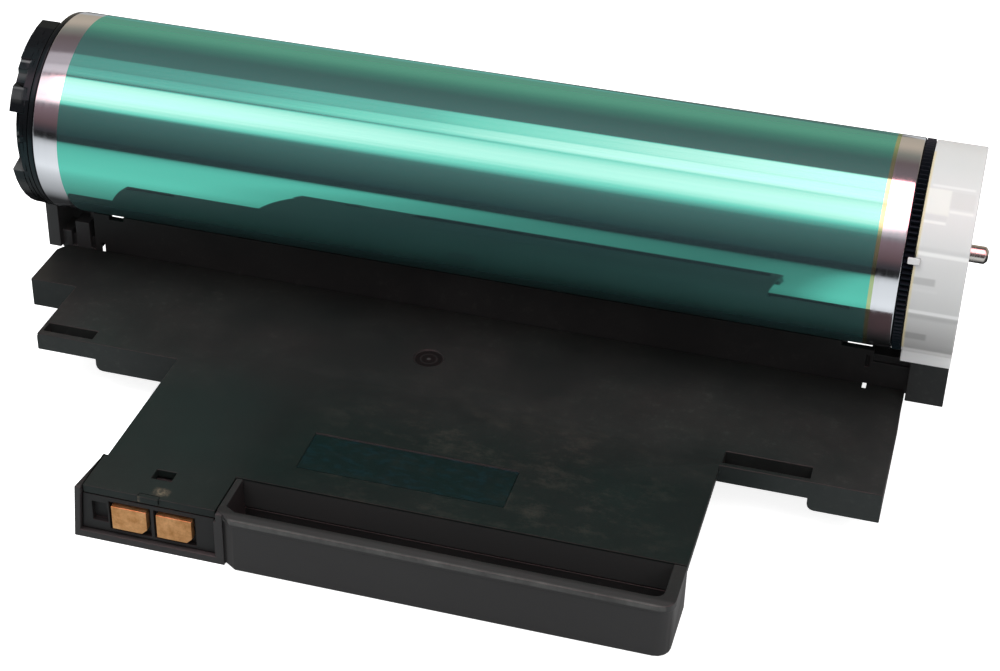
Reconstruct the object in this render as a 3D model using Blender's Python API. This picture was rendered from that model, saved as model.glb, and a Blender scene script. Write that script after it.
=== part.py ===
"""A printer's drum unit: the photoconductor drum in its plastic carrier, with a finger trough in front.

Sizes are millimetres in the drum's own frame. x runs along the drum from the left end of its tube,
y points away from the front of the unit, z points up, and the drum's axis is y = z = 0.
The empty drum_unit carries every piece and stands the unit on the ground, centred on the origin.
"""
import math

import bmesh
import bpy

MM = 0.001

# Facets of round pieces
TUBE_SIDES = 64
CAP_SIDES = 48
FLANGE_SIDES = 36
ROLLER_SIDES = 24
SHAFT_SIDES = 16
HEAD_SIDES = 10
SCREW_SIDES = 8

LAP = 1.0               # how far joined bodies reach into one another, and cutters out of the solid

# Clearances
SEAT_GAP = 0.3          # between two pieces that are fixed together
RUN_GAP = 0.3           # beside or around what turns
BORE_GAP = 0.08         # radial clearance of a shaft in its bore
SCREW_GAP = 0.2         # around a screw's shank

# Drum
TUBE_LENGTH = 254.0
TUBE_RADIUS = 30.0
TUBE_WALL = 1.5
PLUG_LENGTH = 11.0      # how far each flange reaches into the tube
PLUG_WALL = 2.5
FLANGE_WEB = 1.3
HUB_RADIUS = 6.5
HUB_LENGTH = 13.0
LIP_THICKNESS = 1.5     # black lip at the tube's left end
LIP_SHORT = 0.2         # its radius is this much less than the tube's
GEAR_THICKNESS = 2.4    # fine-toothed ring at the tube's right end
AXLE_RADIUS = 2.5
AXLE_OUT = 5.0          # the bright end that stands out of the right cap
AXLE_CHAMFER = 0.8
PLATE_THICKNESS = 0.5   # copper star that earths the tube to the axle
PLATE_ARMS = 3
PLATE_ARM_TURN = 5.0    # half an arm's width at the tip, in degrees

# Gear train: module, teeth, and play added to each centre distance
MODULE = 0.5
IDLER_TEETH = 40
AUGER_TEETH = 36
CENTRE_PLAY = 0.15
TIP_SHARE = 0.14        # tooth width at the tip, as a share of the pitch
TOOTH_ABOVE = 1.0       # tip above and root below the pitch circle, in modules
TOOTH_BELOW = 1.6
DRUM_TEETH = round(2 * (TUBE_RADIUS / MODULE - TOOTH_ABOVE))

# Bearing caps
LEFT_CAP_DISC = 2.5     # thickness of the left cap's disc
LEFT_CAP_LOBES = 3.4    # how far its lobes stand out of the disc
LEFT_CAP_SHORT = 0.4    # its radius is this much less than the tube's
LEFT_CAP_RIM = 7.0      # width of the rim that carries the lobes
LEFT_CAP_VALLEY = 4.9
LEFT_CAP_DISC_ARCS = (  # disc from the side: how deep below its full radius, from and to angle
    (0.0, 92, 352), (LEFT_CAP_VALLEY, 354, 450))
LEFT_CAP_LOBE_ARCS = (  # rim from the side, in the same way
    (0.0, 92, 124.6), (0.5, 124.7, 131), (1.5, 133, 139), (0.0, 142, 156.6), (LEFT_CAP_VALLEY, 157.5, 192),
    (0.0, 193, 236), (LEFT_CAP_VALLEY, 238, 258), (0.0, 260, 300), (LEFT_CAP_VALLEY, 302, 322), (0.0, 324, 352),
    (LEFT_CAP_VALLEY, 354, 450))
CAP_ARC_STEP = 8.0      # degrees
LEFT_CAP_RIB = (170.0, 174.0)
LEFT_CAP_RIB_OUT = 0.6
RIGHT_CAP_LENGTH = 14.1
RIGHT_CAP_WALL = 2.2
RIGHT_CAP_WEB = 2.0
RIGHT_CAP_RIBS = 10
RIB_PHASE = 8.5         # degrees
RIB_THICKNESS = 1.3
RIB_SETBACK = 1.5
CAP_HUB_RADIUS = 6.0
CAP_FOOT_FRONT = -15.6  # flat foot at the white cap's lower front
CAP_FOOT_BACK = -7.3
CAP_FOOT_SHORT = 0.7    # its underside is this much above the cap's lowest point
CAP_FOOT_HEIGHT = 4.7
HOOK = (156.5, 160.0)   # hook over the gear ring, from and to angle
HOOK_REACH = 1.7        # past the cap's left edge
HOOK_ROOT = 1.6
HOOK_NECK = 0.5         # degrees
HOOK_THICKNESS = 0.8
BOSS_HALF = 3.3         # block that takes the white cap's screw
CAP_SCREW_REACH = 5.2   # a cap's screw reaches this far into it
LEFT_CAP_SCREW_Y = 2.0
RIGHT_CAP_SCREW_Y = 4.0

# Tray cover, outline seen from above
COVER_THICKNESS = 2.4
COVER_BELOW_TUBE = 14.0
WALL_FRONT = -8.0       # front face of the cradle's wall, behind the cover
TRAY_LEFT = -5.4
UPPER_TAB_FRONT = -30.1
LEFT_TAB_LEFT = 9.6
LEFT_TAB_FRONT = -57.0
BODY_LEFT = 54.1
BODY_STEP_IN = 1.2      # the cover widens here, beside the contact block
RIGHT_TAB_FRONT = -59.7
RIGHT_TAB_LENGTH = 39.1
TRAY_POST_GAP = 0.4
SKIRT_WALL = 2.0
SKIRT_DEPTH = 9.6
THIN_SKIRT_DEPTH = 5.7  # under the guide recesses
SKIRT_CORNER = 2.0
SKIRT_RIB = 1.5
RIB_GAP = 1.0           # from the ribs to the housing below
RECESS_DEPTH = 4.2
LEFT_RECESS_IN = (1.2, 16.8, 2.0, 6.2)      # from the tab's left and front edges
RIGHT_RECESS_IN = (0.4, 24.7, 1.6, 6.9)
RECESS_WALL = 1.4
PEEP_NOTCH = (6.7, 5.5) # in the cover's back edge, before the tube's right end
PEEP_NOTCH_DEPTH = 2.1
PEEP_SLOT = (8.3, 9.4)  # in the front wall
PEEP_SLOT_HEIGHT = 2.6
PEEP_RELIEF = 1.0       # the hollow behind or under them is this much wider
SIDE_SKIRT_BACKS = (-12.0, -16.0)
TRAY_CHAMFER = (2.2, 3.5)
MARK_CENTRE = (123.6, -34.1)
MARK_RADIUS = 4.5
MARK_DEPTH = 0.4
MARK_SIDES = 20
LABEL_RECESS = (104.8, 163.2, 9.1, 25.4)    # the last two from the pocket's back edge
LABEL_DEPTH = 0.3
LATCH = (69.2, 75.1)    # the cover's snap tab over the contact block
LATCH_OUT = 0.7
LATCH_DROP = 1.7
LATCH_RISE = 0.2
COVER_RIBS = (-42.0, -24.0)
COVER_BOSS = 3.3        # radius of the bosses that take its screws
POCKET_SKIRT = 1.2      # the cover's edge hangs down in front of the pocket's back wall
POCKET_SKIRT_DEPTH = 9.5
SKIRT_LAP = 0.7         # it reaches this far into each side wall
LATCH_SLOT = (69.5, 75.2, 8.2, 12.2)        # the last two from the cover's front edge

# Lower housing and trough
HOUSING_HEIGHT = 17.3   # from the cover's top to the underside
FLOOR = 2.0
WALL = 2.0
HOUSING_INSET = 8.0     # housing walls, inside the cover's edges
TROUGH_LEFT = 91.3
TROUGH_FRONT = -122.2
TROUGH_CHAMFER = (4.9, 3.2)
TROUGH_CORNER = 4.0
TROUGH_LIP = 2.3
TROUGH_LIP_OUT = 0.4
TROUGH_FOOT = 0.4       # the trough's outline draws in by this at the underside
TROUGH_BACK_WALL = 3.3
POCKET_WALLS = (1.9, 3.5)   # left and right of the pocket
POCKET_WALL_FRONT = 3.8
POCKET_WIDTH = 14.1     # from its front to its back
POCKET_CHAMFER = (3.0, 1.8)
POCKET_CORNER = 2.5
POCKET_FILLET = 0.8     # along the pocket's floor
BLOCK_WALL = 1.7        # left of the block's opening
BLOCK_SETBACK = 1.6     # behind the trough's front
BLOCK_DRAFT = 1.6
BLOCK_LEAN = 1.4        # its left wall stands out by this much more at the underside
BLOCK_FLOOR = 2.3
BLOCK_DEPTH = 12.8      # depth of its opening
OPENING_MARGIN = 0.6
COVER_SETBACK = 1.0     # the cover's front edge, behind the block's

# Contacts in the block's front opening
HOLDER_SETBACK = 1.4
HOLDER_DEPTH = 7.0
PAD_SIZE = (10.1, 7.5)
PAD_THICKNESS = 0.8
PAD_CHAMFER = 1.6
PAD_BELOW = 9.1         # the pads' centres, below the cover's top
PAD_PLACES = (13.2, 26.1)   # from the left of the block's opening
PAD_WINDOW = 0.9        # margin of the window around a pad
WINDOW_DEPTH = 1.8
KEY_RECESS = (2.3, 6.7) # from the left of the block's opening
KEY_UP = 1.2            # the key recess starts this far above the pads' lower edge
PAD_ARM = 2.0           # half the height of the arm behind each pad
FUSE_RADIUS = 1.2
FUSE_LENGTH = 6.0
FUSE_LEAD = 0.35        # radius of its leads

# Cradle under the drum
CRADLE_LEFT = 20.5
CRADLE_SHORT = 15.0     # it ends this far before the tube's right end
CRADLE_END = 3.0        # thickness of the cradle's end walls
CRADLE_BEHIND = 6.0     # behind the tube
FRONT_WALL_BELOW_TUBE = 0.9
FRONT_WALL_LEFT = 6.2
FRONT_WALL_SHORT = 4.6  # the front wall ends this far before the tube's right end
FRONT_WALL = 2.4
LEFT_NOTCH = (11.7, 16.3)
RIGHT_NOTCH_WIDTH = 9.6
NOTCH_DEPTH = 1.5
SILL = (1.2, 0.1)       # the front wall's ends reach below the cover's top, its sills above it
BLIND_SLOT = (2.1, 1.0, 3.4, 7.3)   # x from and to, before the front wall's end, and z below its top
BLIND_SLOT_DEPTH = 1.0
DIVIDER_FRONT = 15.5
DIVIDER_BELOW_COVER = 2.0
SEAL_SPACE = 2.0        # from the tube to the bed of the felt seals
SEAL_FROM = -103.5
SEAL_TO = -63.0
REAR_BEAM_TOP = 20.0
REAR_LIP = (3.2, -9.5)  # behind the tube, and up
REAR_LIP_THICKNESS = (1.6, 0.8)
END_WALL_ABOVE = 2.0    # behind the divider, over the cover's top
WASTE_PORT = (68.0, 98.0)
WASTE_PORT_BELOW = 6.4
SILL_LEFT = -5.2
LEDGE_BELOW = 0.1       # the small ledges under the drum's ends start this far below the cover's top
LEFT_LEDGES = (         # x and y from and to, and their tops, over the cover's top
    (-5.2, 7.2, -6.5, 1.0, 3.4), (-5.2, -1.7, -8.0, 0.0, 5.2), (-0.2, 4.6, -8.0, -2.0, 9.0),
    (3.5, 7.2, -4.5, -2.0, 12.0))
RIGHT_LEDGES = (        # the same, with x from the tube's right end and from the right post
    (-5.6, 0.5, -6.5, -3.0, 4.5), (-5.6, 0.5, -8.0, -1.0, 7.9), (-5.6, 0.5, -7.0, -2.0, 10.0))
POST_TOP = 8.3
LEFT_POST_OUT = 0.8
LEFT_POST_IN = 2.6
LEFT_POST_FRONT = -10.0
LEFT_POST_BELOW = 0.1
RIGHT_POST_IN = 3.0
RIGHT_POST_SHORT = 0.2
RIGHT_POST_FRONT = -13.0
RIGHT_POST_BELOW = 0.3

# Charge roller, on a line out of the drum's axis
CHARGE_ANGLE = -48.0
CHARGE_RADIUS = 5.0
CHARGE_SHAFT = 3.0
SLEEVE_INSIDE = (0.5, 1.0)  # inside the cradle's left and right end walls' outer faces
CARRIER_WIDTH = 5.0
CARRIER_WALL = 2.2
BEARING_SIZE = (7.4, 8.0)
SPRING_ROOM = 5.0
CARRIER_AWAY = 5.5      # from the cradle's end walls
CHARGE_CHAMFER = 0.5
SLEEVE_CHAMFER = 0.3
SPRING_RADIUS = 2.5
SPRING_WIRE = 0.4
SPRING_TURNS = 3.5
SPRING_STEPS = 8        # per turn

# Cleaning blade and waste auger
AUGER_Y = 6.0
AUGER_BELOW_COVER = 6.5
AUGER_SHAFT = 2.0
AUGER_FLIGHT = 6.6
AUGER_PITCH = 25.0
AUGER_STEPS = 8         # per turn of its flight
AUGER_STUB = 1.5        # how far it reaches out of the left end wall
FLIGHT_THICKNESS = 1.4
BLADE_THICKNESS = 1.5
BLADE_GAP = 0.2
BRACKET_THICKNESS = 1.2
BRACKET_LEG = 9.4
BRACKET_LEAN = 131.9    # the leg's direction, in degrees
BRACKET_FOOT = (3.0, 3.4)   # in front of the divider and behind the screws
BLADE_MARGIN = 2.5
BLADE_BOND = 0.1        # between blade and bracket
BLADE_START = 3.0       # along the leg
FILM_THICKNESS = 0.4
FILM_BOND = 0.1
FILM_DEPTH = 7.0        # below the front wall's top
FILM_KNEE = 2.5
FILM_TIP = -97.0        # where its free edge lies under the drum, in degrees
SEAL_MARGIN = 0.2
SEAL_SHORT = 1.0        # degrees
IDLER_PIN = 2.0
IDLER_HUB = 3.6

# Screws
SCREW_SHANK = 1.45
SCREW_HEAD = 2.7
SCREW_HEAD_HEIGHT = 1.8
CAP_SCREW_SHANK = 1.2
CAP_SCREW_HEAD = 1.9
WELL_DEPTH = 4.8
WELL_RADIUS = 4.6
SEAT_UP = 2.6           # seats of the cover's screws, above the underside
COVER_SCREW_INSET = 9.9 # from the housing's side walls
COVER_SCREW_FRONT = 10.3    # behind the pocket
COVER_SCREW_BACK = 12.0 # before the front wall
COVER_SCREW_LENGTH = 11.0
BLADE_SCREW_INSET = 24.5    # from the cradle's end walls
BLADE_SCREW_LENGTH = 8.0
BLADE_SCREW_BACK = 2.5  # behind the divider's front
BLADE_BOSS = 3.4
SLOT_WIDTH = 0.6

# Along the drum, worked out from the sizes above
LIP_LEFT = -SEAT_GAP - LIP_THICKNESS
GEAR_LEFT = TUBE_LENGTH + SEAT_GAP
GEAR_RIGHT = GEAR_LEFT + GEAR_THICKNESS
LEFT_CAP_RIGHT = LIP_LEFT - RUN_GAP
LEFT_CAP_LEFT = LEFT_CAP_RIGHT - LEFT_CAP_DISC - LEFT_CAP_LOBES
RIGHT_CAP_LEFT = GEAR_RIGHT + RUN_GAP
RIGHT_CAP_RIGHT = RIGHT_CAP_LEFT + RIGHT_CAP_LENGTH
AXLE_RIGHT = RIGHT_CAP_RIGHT + AXLE_OUT
LEFT_POST = (LEFT_CAP_LEFT - LEFT_POST_OUT, LEFT_CAP_RIGHT - LEFT_POST_IN)
RIGHT_POST = (RIGHT_CAP_LEFT + RIGHT_POST_IN, RIGHT_CAP_RIGHT - RIGHT_POST_SHORT)
TRAY_RIGHT = RIGHT_POST[0] - TRAY_POST_GAP
BODY_RIGHT = TUBE_LENGTH - RIGHT_TAB_LENGTH
HOUSING_LEFT = BODY_LEFT + HOUSING_INSET
HOUSING_RIGHT = BODY_RIGHT - HOUSING_INSET
COVER_BACK_X = TROUGH_LEFT - SEAT_GAP
POCKET_LEFT = TROUGH_LEFT + POCKET_WALLS[0]
POCKET_RIGHT = BODY_RIGHT - POCKET_WALLS[1]
BLOCK_INNER_LEFT = BODY_LEFT - BODY_STEP_IN
CRADLE_RIGHT = TUBE_LENGTH - CRADLE_SHORT
FRONT_WALL_RIGHT = TUBE_LENGTH - FRONT_WALL_SHORT
NOTCHES = (LEFT_NOTCH, (FRONT_WALL_RIGHT - RIGHT_NOTCH_WIDTH, FRONT_WALL_RIGHT + LAP))
CHARGE_SLEEVE = (CRADLE_LEFT + SLEEVE_INSIDE[0], CRADLE_RIGHT - SLEEVE_INSIDE[1])

# Heights, worked out downwards from the drum
LEFT_CAP_RADIUS = TUBE_RADIUS - LEFT_CAP_SHORT
RIGHT_CAP_RADIUS = TUBE_RADIUS
LEFT_POST_SEAT = LEFT_CAP_RADIUS + SEAT_GAP
RIGHT_POST_SEAT = RIGHT_CAP_RADIUS + SEAT_GAP
PLUG_RADIUS = TUBE_RADIUS - TUBE_WALL - SEAT_GAP
SEAL_BED = TUBE_RADIUS + SEAL_SPACE
CAP_FOOT_DROP = RIGHT_CAP_RADIUS - CAP_FOOT_SHORT
COVER_DROP = TUBE_RADIUS + COVER_BELOW_TUBE
TRAY_TOP = -COVER_DROP
TRAY_UNDER = TRAY_TOP - COVER_THICKNESS
INSIDE_COVER = TRAY_UNDER + COVER_THICKNESS / 2
UNDERSIDE = TRAY_TOP - HOUSING_HEIGHT
FLOOR_TOP = UNDERSIDE + FLOOR
FRONT_WALL_TOP = -TUBE_RADIUS - FRONT_WALL_BELOW_TUBE
DIVIDER_DROP = COVER_DROP + DIVIDER_BELOW_COVER
PAD_DROP = COVER_DROP + PAD_BELOW
LEFT_POST_DROP = COVER_DROP + LEFT_POST_BELOW
RIGHT_POST_DROP = COVER_DROP + RIGHT_POST_BELOW
SCREW_SEAT = UNDERSIDE + SEAT_UP

# From front to back
POCKET_FRONT = TROUGH_FRONT + POCKET_WALL_FRONT
POCKET_BACK = POCKET_FRONT + POCKET_WIDTH
BLOCK_FRONT = TROUGH_FRONT + BLOCK_SETBACK
BLOCK_BACK = BLOCK_FRONT + BLOCK_DEPTH
BODY_STEP = BLOCK_BACK + WALL
COVER_FRONT = BLOCK_FRONT + COVER_SETBACK
TRAY_BACK = WALL_FRONT - SEAT_GAP
FRONT_WALL_BACK = WALL_FRONT + FRONT_WALL
DIVIDER_BACK = DIVIDER_FRONT + WALL
CRADLE_BACK = TUBE_RADIUS + CRADLE_BEHIND

AUGER_PLACE = (AUGER_Y, TRAY_TOP - AUGER_BELOW_COVER)
COVER_SCREWS = [(x, y) for y in (POCKET_BACK + COVER_SCREW_FRONT, WALL_FRONT - COVER_SCREW_BACK)
                for x in (HOUSING_LEFT + COVER_SCREW_INSET, HOUSING_RIGHT - COVER_SCREW_INSET)]
BLADE_SCREWS = [(x, DIVIDER_FRONT + BLADE_SCREW_BACK)
                for x in (CRADLE_LEFT + BLADE_SCREW_INSET, (CRADLE_LEFT + CRADLE_RIGHT) / 2,
                          CRADLE_RIGHT - BLADE_SCREW_INSET)]
BLADE_BOSS_LOW = -DIVIDER_DROP - BLADE_SCREW_LENGTH - 2 * LAP


def recess(left, front, inside):
    """x and y from and to of a guide recess, measured from its tab's left and front edges."""
    return (left + inside[0], left + inside[1], front + inside[2], front + inside[3])


LEFT_RECESS = recess(LEFT_TAB_LEFT, LEFT_TAB_FRONT, LEFT_RECESS_IN)
RIGHT_RECESS = recess(BODY_RIGHT, RIGHT_TAB_FRONT, RIGHT_RECESS_IN)

UNIT_LEFT = min(LEFT_POST[0], LEFT_CAP_LEFT)
CENTRE_X = (UNIT_LEFT + AXLE_RIGHT) / 2
CENTRE_Y = (TROUGH_FRONT + CRADLE_BACK) / 2

for old in list(bpy.data.objects):
    bpy.data.objects.remove(old, do_unlink=True)

unit = bpy.data.objects.new("drum_unit", None)
unit.location = (-CENTRE_X * MM, -CENTRE_Y * MM, -UNDERSIDE * MM)
bpy.context.scene.collection.objects.link(unit)


# Materials

def material(name, colour, roughness, metallic=0.0, transmission=0.0):
    made = bpy.data.materials.new(name)
    made.use_nodes = True
    shader = made.node_tree.nodes["Principled BSDF"]
    shader.inputs["Base Color"].default_value = (*colour, 1.0)
    shader.inputs["Roughness"].default_value = roughness
    shader.inputs["Metallic"].default_value = metallic
    shader.inputs["Transmission Weight"].default_value = transmission
    return made


COATING = material("photoconductor_coating", (0.03, 0.30, 0.22), 0.08)
BLACK = material("black_plastic", (0.018, 0.020, 0.019), 0.45)
FLANGE = material("flange_plastic", (0.02, 0.02, 0.02), 0.35)
WHITE = material("natural_plastic", (0.80, 0.80, 0.79), 0.30)
STEEL = material("ground_steel", (0.62, 0.62, 0.60), 0.22, 1.0)
PLATED = material("zinc_plated_steel", (0.55, 0.56, 0.57), 0.35, 1.0)
COPPER = material("copper", (0.72, 0.38, 0.20), 0.38, 1.0)
RUBBER = material("conductive_rubber", (0.03, 0.03, 0.035), 0.60)
POLYURETHANE = material("blade_polyurethane", (0.55, 0.42, 0.20), 0.40)
FILM = material("polyester_film", (0.10, 0.10, 0.11), 0.20)
FELT = material("felt", (0.30, 0.29, 0.27), 0.95)
ACETAL = material("acetal", (0.75, 0.74, 0.70), 0.40)
CERAMIC = material("fuse_body", (0.70, 0.66, 0.56), 0.55)


# Mesh helpers

def place(axis, along, u, v):
    """The point at `along` on an axis, with u and v on the other two in x, y, z order."""
    if axis == "x":
        return (along, u, v)
    if axis == "y":
        return (u, along, v)
    return (u, v, along)


def loft(axis, layers):
    """A closed body through layers of (place on the axis, outline), all with as many points."""
    body = bmesh.new()
    rings = [[body.verts.new(place(axis, along, u, v)) for u, v in outline] for along, outline in layers]
    count = len(rings[0])
    for lower, upper in zip(rings, rings[1:]):
        for i in range(count):
            j = (i + 1) % count
            body.faces.new((lower[i], lower[j], upper[j], upper[i]))
    body.faces.new(rings[0])
    body.faces.new(rings[-1])
    return body


def prism(axis, low, high, outline):
    return loft(axis, [(low, outline), (high, outline)])


def block(x0, x1, y0, y1, z0, z1):
    return prism("z", z0, z1, [(x0, y0), (x1, y0), (x1, y1), (x0, y1)])


def arc(radius, start, end, steps, centre=(0.0, 0.0)):
    """Points on a circle from one angle to another, in degrees, both ends included."""
    turn = [math.radians(start + (end - start) * i / steps) for i in range(steps + 1)]
    return [(centre[0] + radius * math.cos(a), centre[1] + radius * math.sin(a)) for a in turn]


def circle(radius, sides, centre=(0.0, 0.0)):
    return arc(radius, 0.0, 360.0, sides, centre)[:-1]


def polar(radius, angle):
    return (radius * math.cos(math.radians(angle)), radius * math.sin(math.radians(angle)))


def rod(axis, low, high, radius, sides, centre=(0.0, 0.0)):
    return prism(axis, low, high, circle(radius, sides, centre))


def bore(shaft_radius, gap, sides):
    """Corner radius of a faceted bore that clears a turning shaft by the gap."""
    return (shaft_radius + gap) / math.cos(math.pi / sides)


def shaft_rod(low, high, radius, centre=(0.0, 0.0)):
    return rod("x", low, high, radius, SHAFT_SIDES, centre)


def shaft_hole(low, high, shaft_radius, centre=(0.0, 0.0)):
    """Cutter for the bore of a turning shaft, through everything from low to high."""
    return shaft_rod(low - LAP, high + LAP, bore(shaft_radius, BORE_GAP, SHAFT_SIDES), centre)


def sector(x0, x1, inner, outer, start, end):
    """A piece of a ring about the drum's axis, from one angle to another."""
    return prism("x", x0, x1, [polar(inner, start), polar(outer, start), polar(outer, end), polar(inner, end)])


def axle_hole(low, high):
    return shaft_hole(low, high, AXLE_RADIUS)


def screw_hole(low, high, shank, centre):
    return rod("z", low, high, shank + SCREW_GAP, SCREW_SIDES, centre)


def turned(profile, sides, centre=(0.0, 0.0), hollow=True):
    """A profile of (x, radius) carried round the x axis; a hollow one closes on itself."""
    body = bmesh.new()
    rings = []
    for x, radius in profile:
        rings.append([body.verts.new((x, y, z)) for y, z in circle(radius, sides, centre)])
    pairs = list(zip(rings, rings[1:]))
    if hollow:
        pairs.append((rings[-1], rings[0]))
    for near, far in pairs:
        for i in range(sides):
            j = (i + 1) % sides
            body.faces.new((near[i], near[j], far[j], far[i]))
    if not hollow:
        body.faces.new(rings[0])
        body.faces.new(rings[-1])
    return body


def make(name, body, finish, pivot=(0.0, 0.0, 0.0), smooth=35.0):
    """An object of the body, in metres, with its origin on the pivot."""
    bmesh.ops.recalc_face_normals(body, faces=body.faces)
    bmesh.ops.translate(body, verts=body.verts, vec=[-c for c in pivot])
    bmesh.ops.scale(body, verts=body.verts, vec=(MM, MM, MM))
    mesh = bpy.data.meshes.new(name)
    body.to_mesh(mesh)
    body.free()
    mesh.shade_smooth()
    mesh.set_sharp_from_angle(angle=math.radians(smooth))
    made = bpy.data.objects.new(name, mesh)
    made.data.materials.append(finish)
    made.parent = unit
    made.location = [c * MM for c in pivot]
    bpy.context.scene.collection.objects.link(made)
    return made


def combine(target, operation, bodies):
    """Joins bodies to an object, or cuts them from it; each stays a hidden wire object."""
    for body in bodies:
        number = len(target.modifiers) + 1
        tool = make(f"{target.name}_tool_{number}", body, target.data.materials[0])
        tool.hide_render = True
        tool.display_type = "WIRE"
        step = target.modifiers.new(tool.name, "BOOLEAN")
        step.operation = operation
        step.solver = "EXACT"
        step.object = tool
    return target


def join(target, *bodies):
    return combine(target, "UNION", bodies)


def cut(target, *bodies):
    return combine(target, "DIFFERENCE", bodies)


# Gears

def pitch_radius(teeth):
    return MODULE * teeth / 2


def gear_outline(teeth, phase, centre=(0.0, 0.0)):
    """Straight-flanked teeth; one tooth's middle lies at the phase, in degrees."""
    tip = pitch_radius(teeth) + TOOTH_ABOVE * MODULE
    root = pitch_radius(teeth) - TOOTH_BELOW * MODULE
    pitch = 360.0 / teeth
    corners = ((root, -0.5), (tip, -TIP_SHARE / 2), (tip, TIP_SHARE / 2))
    points = []
    for tooth in range(teeth):
        for radius, share in corners:
            y, z = polar(radius, phase + (tooth + share) * pitch)
            points.append((centre[0] + y, centre[1] + z))
    return points


def third_corner(distance_from_axis, other, distance_from_other):
    """The point at both distances, one from the drum's axis and one from the other point, towards the back."""
    span = math.hypot(*other)
    lean = math.acos((distance_from_axis**2 + span**2 - distance_from_other**2) / (2 * distance_from_axis * span))
    return polar(distance_from_axis, math.degrees(math.atan2(other[1], other[0]) + lean))


def mesh_phase(teeth, driver_phase, driver_teeth, line_angle):
    """Phase that puts a gap of the driven gear over the driver's tooth; the line runs from driver to driven."""
    driver_pitch = 360.0 / driver_teeth
    ahead = ((line_angle - driver_phase) / driver_pitch) % 1.0
    return line_angle + 180.0 + (0.5 + ahead) * 360.0 / teeth


IDLER_FROM_DRUM = pitch_radius(DRUM_TEETH) + pitch_radius(IDLER_TEETH) + CENTRE_PLAY
AUGER_FROM_IDLER = pitch_radius(IDLER_TEETH) + pitch_radius(AUGER_TEETH) + CENTRE_PLAY
IDLER_PLACE = third_corner(IDLER_FROM_DRUM, AUGER_PLACE, AUGER_FROM_IDLER)
DRUM_LINE = math.degrees(math.atan2(IDLER_PLACE[1], IDLER_PLACE[0]))
AUGER_LINE = math.degrees(math.atan2(AUGER_PLACE[1] - IDLER_PLACE[1], AUGER_PLACE[0] - IDLER_PLACE[0]))
DRUM_PHASE = DRUM_LINE
IDLER_PHASE = mesh_phase(IDLER_TEETH, DRUM_PHASE, DRUM_TEETH, DRUM_LINE)
AUGER_PHASE = mesh_phase(AUGER_TEETH, IDLER_PHASE, IDLER_TEETH, AUGER_LINE)


# Drum: a coated tube on two flanges, turning on a steel axle

def build_drum():
    inner = TUBE_RADIUS - TUBE_WALL
    tube = [(0, inner), (0, TUBE_RADIUS), (TUBE_LENGTH, TUBE_RADIUS), (TUBE_LENGTH, inner)]
    make("photoconductor_tube", turned(tube, TUBE_SIDES), COATING)

    plug_inner = PLUG_RADIUS - PLUG_WALL
    lip_radius = TUBE_RADIUS - LIP_SHORT
    outer = [(LIP_LEFT, lip_radius), (-SEAT_GAP, lip_radius), (-SEAT_GAP, PLUG_RADIUS), (PLUG_LENGTH, PLUG_RADIUS)]
    flange = make("left_flange", turned(outer, FLANGE_SIDES, hollow=False), FLANGE)
    cut(flange, rod("x", FLANGE_WEB, PLUG_LENGTH + LAP, plug_inner, FLANGE_SIDES))
    join(flange, shaft_rod(0, HUB_LENGTH, HUB_RADIUS))
    cut(flange, axle_hole(LIP_LEFT, HUB_LENGTH))

    ring = prism("x", GEAR_LEFT, GEAR_RIGHT, gear_outline(DRUM_TEETH, DRUM_PHASE))
    gear = make("drive_gear_flange", ring, FLANGE)
    inside = TUBE_LENGTH - PLUG_LENGTH
    back = GEAR_RIGHT - GEAR_THICKNESS / 2
    plug = [(inside, plug_inner), (inside, PLUG_RADIUS), (back, PLUG_RADIUS), (back, plug_inner)]
    join(gear, turned(plug, FLANGE_SIDES), shaft_rod(TUBE_LENGTH - HUB_LENGTH, back, HUB_RADIUS))
    cut(gear, axle_hole(TUBE_LENGTH - HUB_LENGTH, GEAR_RIGHT))

    axle_left = LEFT_CAP_LEFT + SEAT_GAP
    tip = AXLE_RADIUS - AXLE_CHAMFER
    axle = [(axle_left, tip), (axle_left + AXLE_CHAMFER, AXLE_RADIUS), (AXLE_RIGHT - AXLE_CHAMFER, AXLE_RADIUS),
            (AXLE_RIGHT - AXLE_CHAMFER / 4, tip + AXLE_CHAMFER / 2), (AXLE_RIGHT, tip)]
    make("axle", turned(axle, SHAFT_SIDES, hollow=False), STEEL)


def build_earthing_plate():
    """Copper star pressed on the left hub: its arms earth the tube and its hole wipes the axle."""
    left = HUB_LENGTH + SEAT_GAP
    tip = TUBE_RADIUS - TUBE_WALL - SEAT_GAP
    outline = []
    spacing = 360.0 / PLATE_ARMS
    for arm in range(PLATE_ARMS):
        middle = 90.0 + spacing * arm
        outline += [polar(tip, middle - PLATE_ARM_TURN), polar(tip, middle + PLATE_ARM_TURN),
                    polar(HUB_RADIUS, middle + spacing / 3), polar(HUB_RADIUS, middle + spacing * 2 / 3)]
    plate = make("earthing_plate", prism("x", left, left + PLATE_THICKNESS, outline), COPPER)
    cut(plate, axle_hole(left, left + PLATE_THICKNESS))


# Bearing caps at the two ends, which stand still and carry the axle

def left_cap_outline(arcs):
    """Arcs of (depth below the cap's full radius, from angle, to angle), end to end."""
    outline = []
    for depth, start, end in arcs:
        steps = max(1, round((end - start) / CAP_ARC_STEP))
        outline += arc(LEFT_CAP_RADIUS - depth, start, end, steps)
    return outline


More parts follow.
